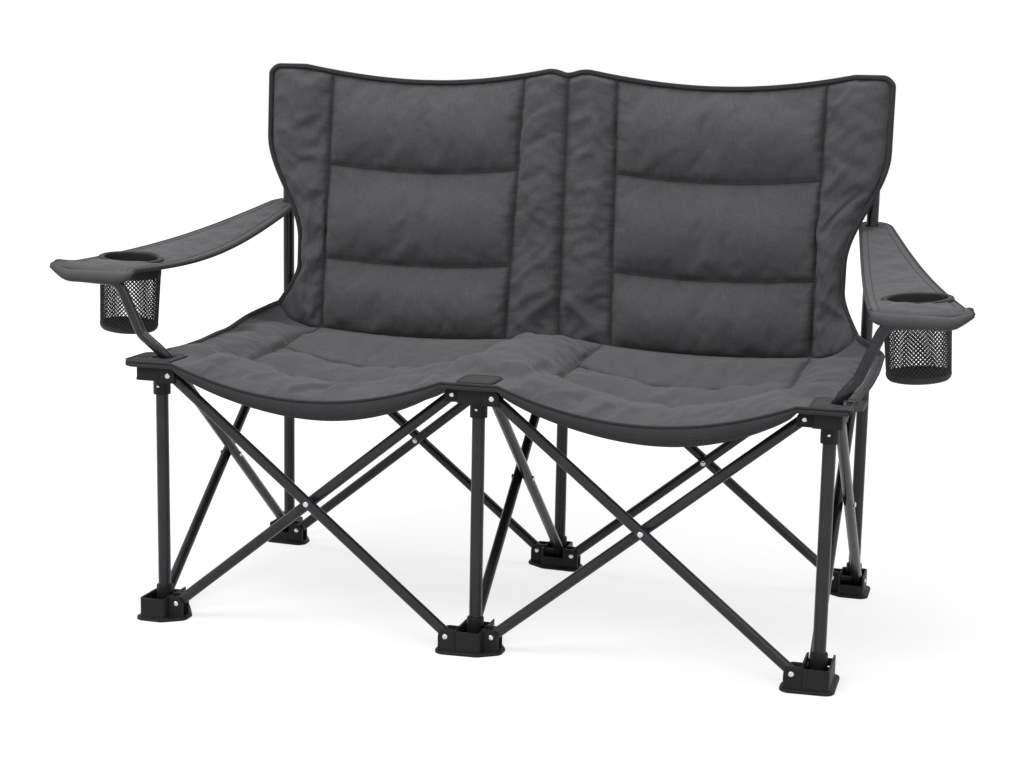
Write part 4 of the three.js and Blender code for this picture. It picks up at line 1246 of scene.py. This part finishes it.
def cut(obj, cutter):
    """Takes a closed cutter out of a piece."""
    modifier = obj.modifiers.new("cut", "BOOLEAN")
    modifier.operation, modifier.solver, modifier.object = "DIFFERENCE", "EXACT", cutter
    baked(obj)
    bpy.data.objects.remove(cutter)
    return obj


def seat_edge(side, start, end):
    """The seat's left or right edge and the cloth's direction there, in the order that a tape runs."""
    spots = [(side * EDGE, y) for y in np.linspace(start, end, 60)][::-side]
    return seat_point(*np.array(spots, float).T), seat_panel.normals_at(spots)


print("seat panel", len(seat_whole.data.polygons), "faces")

# %% [markdown]
# ## Front band
# A darker strip is sewn below the seat's front edge, deepest in the middle of each bucket, with a cord
# piped into the seam above it. It is a ruled strip that follows the edge, thickened to cloth.

# %% Front band and corner slots
FRONT_US = lines_between([-EDGE, -BAY, FLAT - BAY, -FLAT, 0, FLAT, BAY - FLAT, BAY, EDGE], 8)
# Each point of the band's section: how far back in millimetres, and how far down as a share of the drop.
BAND_SECTION = [(0.0, 2.5), (-2.5, 0.0), (-3.2, -0.3), (-2.0, -0.65), (1.5, -0.9), (6.0, -1.0),
                (8.0, -0.95), (4.0, -0.6), (1.2, -0.2)]


def front_band():
    edge = seat_point(FRONT_US, float(SEAT_FRONT))
    lean = np.clip(1 + 0.35 * np.sin(WAVE * (FRONT_US % BAY) / BAY + 3.14), 0, 2)
    drop = 6 + 19 * np.sqrt(sling_share(FRONT_US) * lean)
    points = [p + (0, dy, dz if dz > 0 else dz * d) for p, d in zip(edge, drop) for dy, dz in BAND_SECTION]
    uv = [(u, 4.0 * j) for u in FRONT_US for j in range(len(BAND_SECTION))]
    walls = ring_faces(len(edge), len(BAND_SECTION))
    faces = walls[:-2] + [cap[::-1] for cap in walls[-2:]]
    band = outward(piece_of("seat_band", points, faces, BAND, uv))
    cord = sweep("seat_cord", edge + (0, -1.6, 3.2), circle(2.0, 10), BINDING)
    hem = stitches("seat_band_stitches", [edge + (0, -3.6, 0) - np.outer(drop * 0.55, (0, 0, 1))])
    return [crisp(band, 50), cord, hem]


def tube_slot(column):
    """The gap in a front corner of the seat, where the arm tube comes through."""
    path = [(column + LAYER + column // BAY * 6, FRONT + 5, z) for z in (370, 400, 460)]
    return sweep(f"slot_{column}", path, tape_section(15.5, 15.5, 18, 9.5, 5), MOULDED, up=[(0, 1, 0)] * 3)


seat = {}
for node, rear, start, end in (("seat_front", 0, SEAT_CUT, SEAT_FRONT), ("seat_rear", 1, SEAT_END, SEAT_CUT)):
    half = part_of(seat_whole, f"{node}_cover", rear)
    if not rear:
        for _, column in SIDES:
            cut(half, tube_slot(column))
    # The dark cords along the seams are painted shade of the seam valleys.
    seat[node] = [half, stitches(f"{node}_seams", seat_rows[node]), *seam_shade_cords(f"{node}_seam", seat_rows[node])]
    for side in (-1, 1):
        seat[node] += bound(f"{node}_tape_{side}", *seat_edge(side, start, end))
seat["seat_front"] += front_band()
bpy.data.objects.remove(seat_whole)
print("seat parts", {k: sum(len(o.data.polygons) for o in v) for k, v in seat.items()})

# %% [markdown]
# ## Corner patches
# Coated patches cover the hubs where the cloth would wear, each sewn down round its edge. A patch is a
# rounded outline filled in rings and laid on the seat's surface. Anything printed on one is left out.

# %% Patches on the hubs
# Each ring of a patch: its share of the outline and its height.
PATCH_LEVELS = [(1.0, -2.5), (1.0, 0.0), (0.96, 0.6), (0.9, 0.7), (0.86, 0.5), (0.82, 0.7),
                (0.45, 0.8), (1e-4, 0.8)]
PATCH_LIFT, PATCH_CORNER = 2.7, 11


def patch(name, centre, size):
    half_x, half_y = size[0] / 2, size[1] / 2
    outline = np.array(tape_section(half_x, half_x, half_y, PATCH_CORNER, 6))

    def laid(flat, height):
        return seat_point(*(flat + centre).T) + (0, 0, PATCH_LIFT + height)

    points = np.concatenate([laid(outline * scale, height) for scale, height in PATCH_LEVELS])
    faces = ring_faces(len(PATCH_LEVELS), len(outline))[:-1]
    made = outward(piece_of(name, points, faces, PATCH))
    row = laid(np.vstack([outline, outline[:1]]) * 0.9, 0.9)
    return [crisp(made, 60), stitches(f"{name}_stitches", [row], 4.0)]


for name, x in COLUMNS:
    out = x // BAY
    pieces = patch(f"patch_{name}", (x + out * 6, FRONT + 2), (70, 76) if out else (56, 62))
    if out:
        cut(pieces[0], tube_slot(x))
    seat["seat_front"] += pieces
for node, objects in seat.items():
    seat[node] = replace(joined(f"{node}_cover", objects), node)
    print(node, len(seat[node].data.polygons), "faces")

# %% [markdown]
# ## Armrests
# An armrest is a long padded tab that widens from the rear post to the arm tube, with a rolled hem
# round the tube's end and a hole for the cup ring. The outer edge hangs tauter than the inner one.
# It crosses the fold in the middle; here it is one mesh, on neither body.

# %% Armrest shape
ARM_FRONT, ARM_REAR, ARM_FOLD = FRONT - 5, REAR + 26, REAR - 200
ARM_REAR_Z, ARM_FRONT_Z, ARM_HEM, END_ROUND = 598, 526.8, 12, 26
RING = (100, FRONT + 98)


def armrest_place(column):
    """Maps q from 0 to 3 across (hem, body, hem) and y to a point; x grows with q on both sides."""
    out = column // BAY

    def place(q, y):
        k = q if out > 0 else 3 - q
        share = (REAR - y) / (REAR - FRONT + 20)
        inner, outer = mix(-20, 47, share), mix(32, 186, share)
        width = outer - inner
        body = ARM_HEM + (k - 1) * (width - 2 * ARM_HEM)
        across = np.where(k <= 1, ARM_HEM * k, np.where(k < 2, body, width + (k - 3) * ARM_HEM))
        u = across / width
        fall = (REAR - y) / (REAR - FRONT + 6)
        sag = 28 * (1 - 0.5 * u) * np.sin(np.pi * np.clip(fall, 0, 1))
        tip = 11 * np.clip(u, 0, 1) ** 3 * ease(RING[1] - y, 50, RING[1] - ARM_FRONT + 15)
        z = mix(ARM_REAR_Z, ARM_FRONT_Z, fall) - sag + tip - 6.2 * ease(ARM_FRONT + 13 - y, 0, 13)
        bend = np.clip((y - ARM_REAR + END_ROUND) / END_ROUND, 0, 0.985)
        narrow = 1 - 0.62 * (1 - np.sqrt(1 - bend**2))
        reach = inner + width / 2 + (across - width / 2) * narrow
        return np.stack(np.broadcast_arrays(column + out * reach, y, z), -1)

    return place


def ring_seat(column):
    """Centre and axis of the cup ring on the armrest."""
    place, y, x = armrest_place(column), float(RING[1]), column + column // BAY * RING[0]
    q = np.linspace(0, 3, 301)
    row = place(q, y)
    i = int(np.argmin(np.abs(row[:, 0] - x)))
    across = row[min(i + 40, 300)] - row[max(i - 40, 0)]
    along = place(q[i], y + 20) - place(q[i], y - 20)
    return np.array((x, y, row[i][2])), unit(np.cross(across * (1, 0, 1), along * (0, 1, 1)))


def stand(obj, centre, axis):
    """Moves a piece made round the origin to a place, with its upright axis turned to axis."""
    turn = Vector((0, 0, 1)).rotation_difference(Vector(axis)).to_matrix().to_4x4()
    obj.data.transform(Matrix.Translation(Vector(centre) * MM) @ turn)
    return obj


def drill(name, radius, centre, axis):
    plug = lathe(name, [(0, -90), (radius, -90), (radius, 90), (0, 90)], MOULDED, sides=40)
    return stand(plug, centre, axis)


# %% Armrest panels
BAND_Y, POST_Y = ARM_FRONT + 10, REAR + 8
ARM_LINES = [ARM_FRONT, BAND_Y, ARM_FOLD, POST_Y, ARM_REAR]
ARM_QS = np.concatenate([np.linspace(0, 1, 3), np.linspace(1, 2, 17)[1:], np.linspace(2, 3, 3)[1:]])
# The rolled hem round the arm tube: distance beyond the column, height and radius.
HEM_ROLL = [(46, 522, 4.2), (55, 517.8, 7.6), (68, 515.4, 9.2), (110, 515.3, 9.3), (148, 515.6, 9.3),
            (157, 517.5, 8.2), (170, 524, 5.8), (180, 529.5, 3.4)]


def arm_pad(q, y):
    inside = (q > 1) * (q < 2) * (y > BAND_Y) * (y < POST_Y)
    return swell(q, [0, 1, 2, 3]) * swell(y, [BAND_Y, POST_Y, ARM_REAR]) * inside


def arm_front(q, y):
    return mix(1.6, 3.0, ease(y, ARM_FRONT, ARM_FRONT + 26)) + 2.4 * arm_pad(q, y)


def hem_roll(name, column):
    """The hem's stations, drawn out finer and eased."""
    kernel = np.array([1, 2, 3, 2, 1]) / 9
    fine = np.linspace(0, len(HEM_ROLL) - 1, 60)

    def eased(row):
        drawn = np.interp(fine, np.arange(len(HEM_ROLL)), row)
        return np.convolve(np.pad(drawn, 2, mode="edge"), kernel, "valid")

    reach, z, radius = (eased(row) for row in np.array(HEM_ROLL).T)
    path = np.stack([column + column // BAY * reach, np.full(60, FRONT - 6.0), z], 1)
    return sweep(f"armrest_{name}_hem", path, circle(10, 26), CHARCOAL, scale=radius / 10)


def armrest(name, column):
    place = armrest_place(column)
    sheet = Panel(
        f"armrest_{name}_cover", place, ARM_QS, lines_between(ARM_LINES), arm_front,
        lambda q, y: 3.0 + 1.2 * arm_pad(q, y), lambda q, y: (q <= 1) | (q >= 2) | at(y, [BAND_Y, POST_Y]),
        lambda q, y: 0.5 * drift(60 * q, y, 60, 21), lambda q, y: np.stack([40 * q, y], -1))
    sheet.stuff(0.5, 0.02, 0.01, lambda q, y: q < 1.5, 3)
    rows = [sheet.line(u=q, span=(BAND_Y, POST_Y)) for q in (1, 2)] + [sheet.line(v=POST_Y, span=(1, 2))]
    cover = sheet.smooth(0.5)
    cut(cover, drill("ring_hole", 46, *ring_seat(column)))
    cut(cover, drill("post_hole", 10.0, (column, REAR, ARM_REAR_Z), (0, 0, 1)))
    edge = [(0.0, y) for y in np.linspace(ARM_FRONT, ARM_REAR, 90)]
    edge += [(q, ARM_REAR) for q in np.linspace(0, 3, 14)[1:-1]]
    edge += [(3.0, y) for y in np.linspace(ARM_REAR, ARM_FRONT, 90)]
    tape = bound(f"armrest_{name}_tape", place(*np.array(edge).T), sheet.normals_at(edge), 5, 1.4, 3.3, tucked=14)
    trims = [*tape, hem_roll(name, column), stitches(f"armrest_{name}_seams", rows)]
    return joined(f"armrest_{name}_cover", [cover, *trims])


armrests = {}
for name, column in SIDES:
    armrests[name] = armrest(name, column)
    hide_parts(f"armrest_front_{name}", f"armrest_rear_{name}")
    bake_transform(armrests[name])
    print("armrest", name, len(armrests[name].data.polygons), "faces")

# %% [markdown]
# ## Cup holders
# A black ring lies in the armrest and holds a bag of coarse net with a band at its mouth and at its
# foot. Rings and bands are turned. A geometry node tree makes the net: one strand winds a part of a
# turn down the wall, copies of it are set round the axis in both directions, and straight strands
# of falling length cross in the bottom.

# %% Net tree
net_tree, cup = node_tree("cup_net", [
    ("Strands", "NodeSocketInt", 64), ("Mouth", "NodeSocketFloat", 0.046), ("Foot", "NodeSocketFloat", 0.044),
    ("Height", "NodeSocketFloat", 0.08), ("Turns", "NodeSocketFloat", 0.27), ("Yarn", "NodeSocketFloat", 0.0005),
    ("Bottom", "NodeSocketFloat", 0.037)])
section = put(net_tree, "GeometryNodeCurvePrimitiveCircle", {"Resolution": 5, "Radius": cup["Yarn"]})


def yarn_along(curve):
    return put(net_tree, "GeometryNodeCurveToMesh", {"Curve": curve, "Profile Curve": section})


def vector(**parts):
    return put(net_tree, "ShaderNodeCombineXYZ", parts)


axis_points = put(net_tree, "GeometryNodeMeshLine", {"Count": cup["Strands"], "Offset": (0, 0, 0)})
share = maths(net_tree, "DIVIDE", put(net_tree, "GeometryNodeInputIndex"), cup["Strands"])
spun = put(net_tree, "FunctionNodeEulerToRotation", {0: vector(Z=maths(net_tree, "MULTIPLY", share, 2 * math.pi))})
sets = []
for backwards in (False, True):
    strand = put(net_tree, "GeometryNodeCurveSpiral", {
        "Resolution": 56, "Rotations": cup["Turns"], "Start Radius": cup["Foot"], "End Radius": cup["Mouth"],
        "Height": cup["Height"], "Reverse": backwards})
    sets.append(on_points(net_tree, axis_points, yarn_along(strand), Rotation=spun))
low, high = (maths(net_tree, "MULTIPLY", cup["Bottom"], end) for end in (-0.97, 0.97))
floor_points = put(net_tree, "GeometryNodeMeshLine", {
    "Count": 15, "Start Location": vector(Y=low), "Offset": vector(Y=high)}, mode="END_POINTS")
chord = put(net_tree, "GeometryNodeCurvePrimitiveLine", {"Start": vector(X=low), "End": vector(X=high)})
spot = wire(net_tree, "ShaderNodeSeparateXYZ", {0: put(net_tree, "GeometryNodeInputPosition")})
far_out = maths(net_tree, "DIVIDE", spot.outputs["Y"], cup["Bottom"])
left_over = maths(net_tree, "SUBTRACT", 1.0, maths(net_tree, "MULTIPLY", far_out, far_out))
stretch = vector(X=maths(net_tree, "SQRT", left_over), Y=1.0, Z=1.0)
floor_net = on_points(net_tree, floor_points, yarn_along(chord), Scale=stretch)
for quarter in (math.pi / 4, -math.pi / 4):
    sets.append(put(net_tree, "GeometryNodeTransform", {
        "Geometry": floor_net, "Rotation": (0, 0, quarter), "Translation": (0, 0, -0.005)}))
net = wire(net_tree, "GeometryNodeJoinGeometry")
for strands in sets:
    net_tree.links.new(strands, net.inputs[0])
end_tree(net_tree, net.outputs[0], YARN)
print("net tree", len(net_tree.nodes), "nodes")

# %% Rings, bands and nets
RING_PROFILE = [(41, -16), (44, -16), (44, 2.6), (50, 2.6), (50.4, 3.6), (50.2, 5.0), (49.2, 6.2), (47.4, 6.9),
                (45, 7.1), (42.8, 6.8), (41.5, 5.8), (41, 4.4)]
MOUTH_BAND = [(45.3, -8.1), (47, -8.1), (47.3, -9), (47.2, -21), (46.6, -22), (45.5, -22), (45.3, -20)]
FOOT_BAND = [(44.5, -98), (45.3, -98.6), (45.0, -101), (43.9, -104.5), (41.0, -107.6), (37.5, -108.6),
             (35.0, -108.6), (35.0, -107.6), (37.2, -107.4), (40.2, -106.3), (42.6, -103.6), (43.7, -100.6),
             (44.0, -98.2)]
NET = {"Height": 0.084, "Turns": 0.29, "Yarn": 0.0008, "Strands": 46}
NET_FOOT = -0.1025
for name, column in SIDES:
    seated = ring_seat(column)
    ring = crisp(lathe(f"cup_ring_{name}_turned", RING_PROFILE, MOULDED, sides=64))
    replace(stand(ring, *seated), f"cup_ring_{name}")
    bands = [crisp(lathe(f"cup_{name}_{part}", profile, YARN, sides=56), 40)
             for part, profile in (("mouth", MOUTH_BAND), ("foot", FOOT_BAND))]
    web = grown(linked(f"cup_{name}_net", bpy.data.meshes.new(f"cup_{name}_net")), net_tree, NET)
    web.data.transform(Matrix.Translation((0, 0, NET_FOOT)))
    replace(stand(joined(f"cup_{name}_bag", [*bands, web]), *seated), f"cup_{name}")
    print("cup", name, "net of two sets of strands")

# %% [markdown]
# ## Folding
# When the frame closes, the three columns come together and the cloth between them crumples. Back and
# seat covers each get a mesh of their own.

# %% Own meshes for back and seat
for cover in (back, *seat.values()):
    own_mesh(cover)
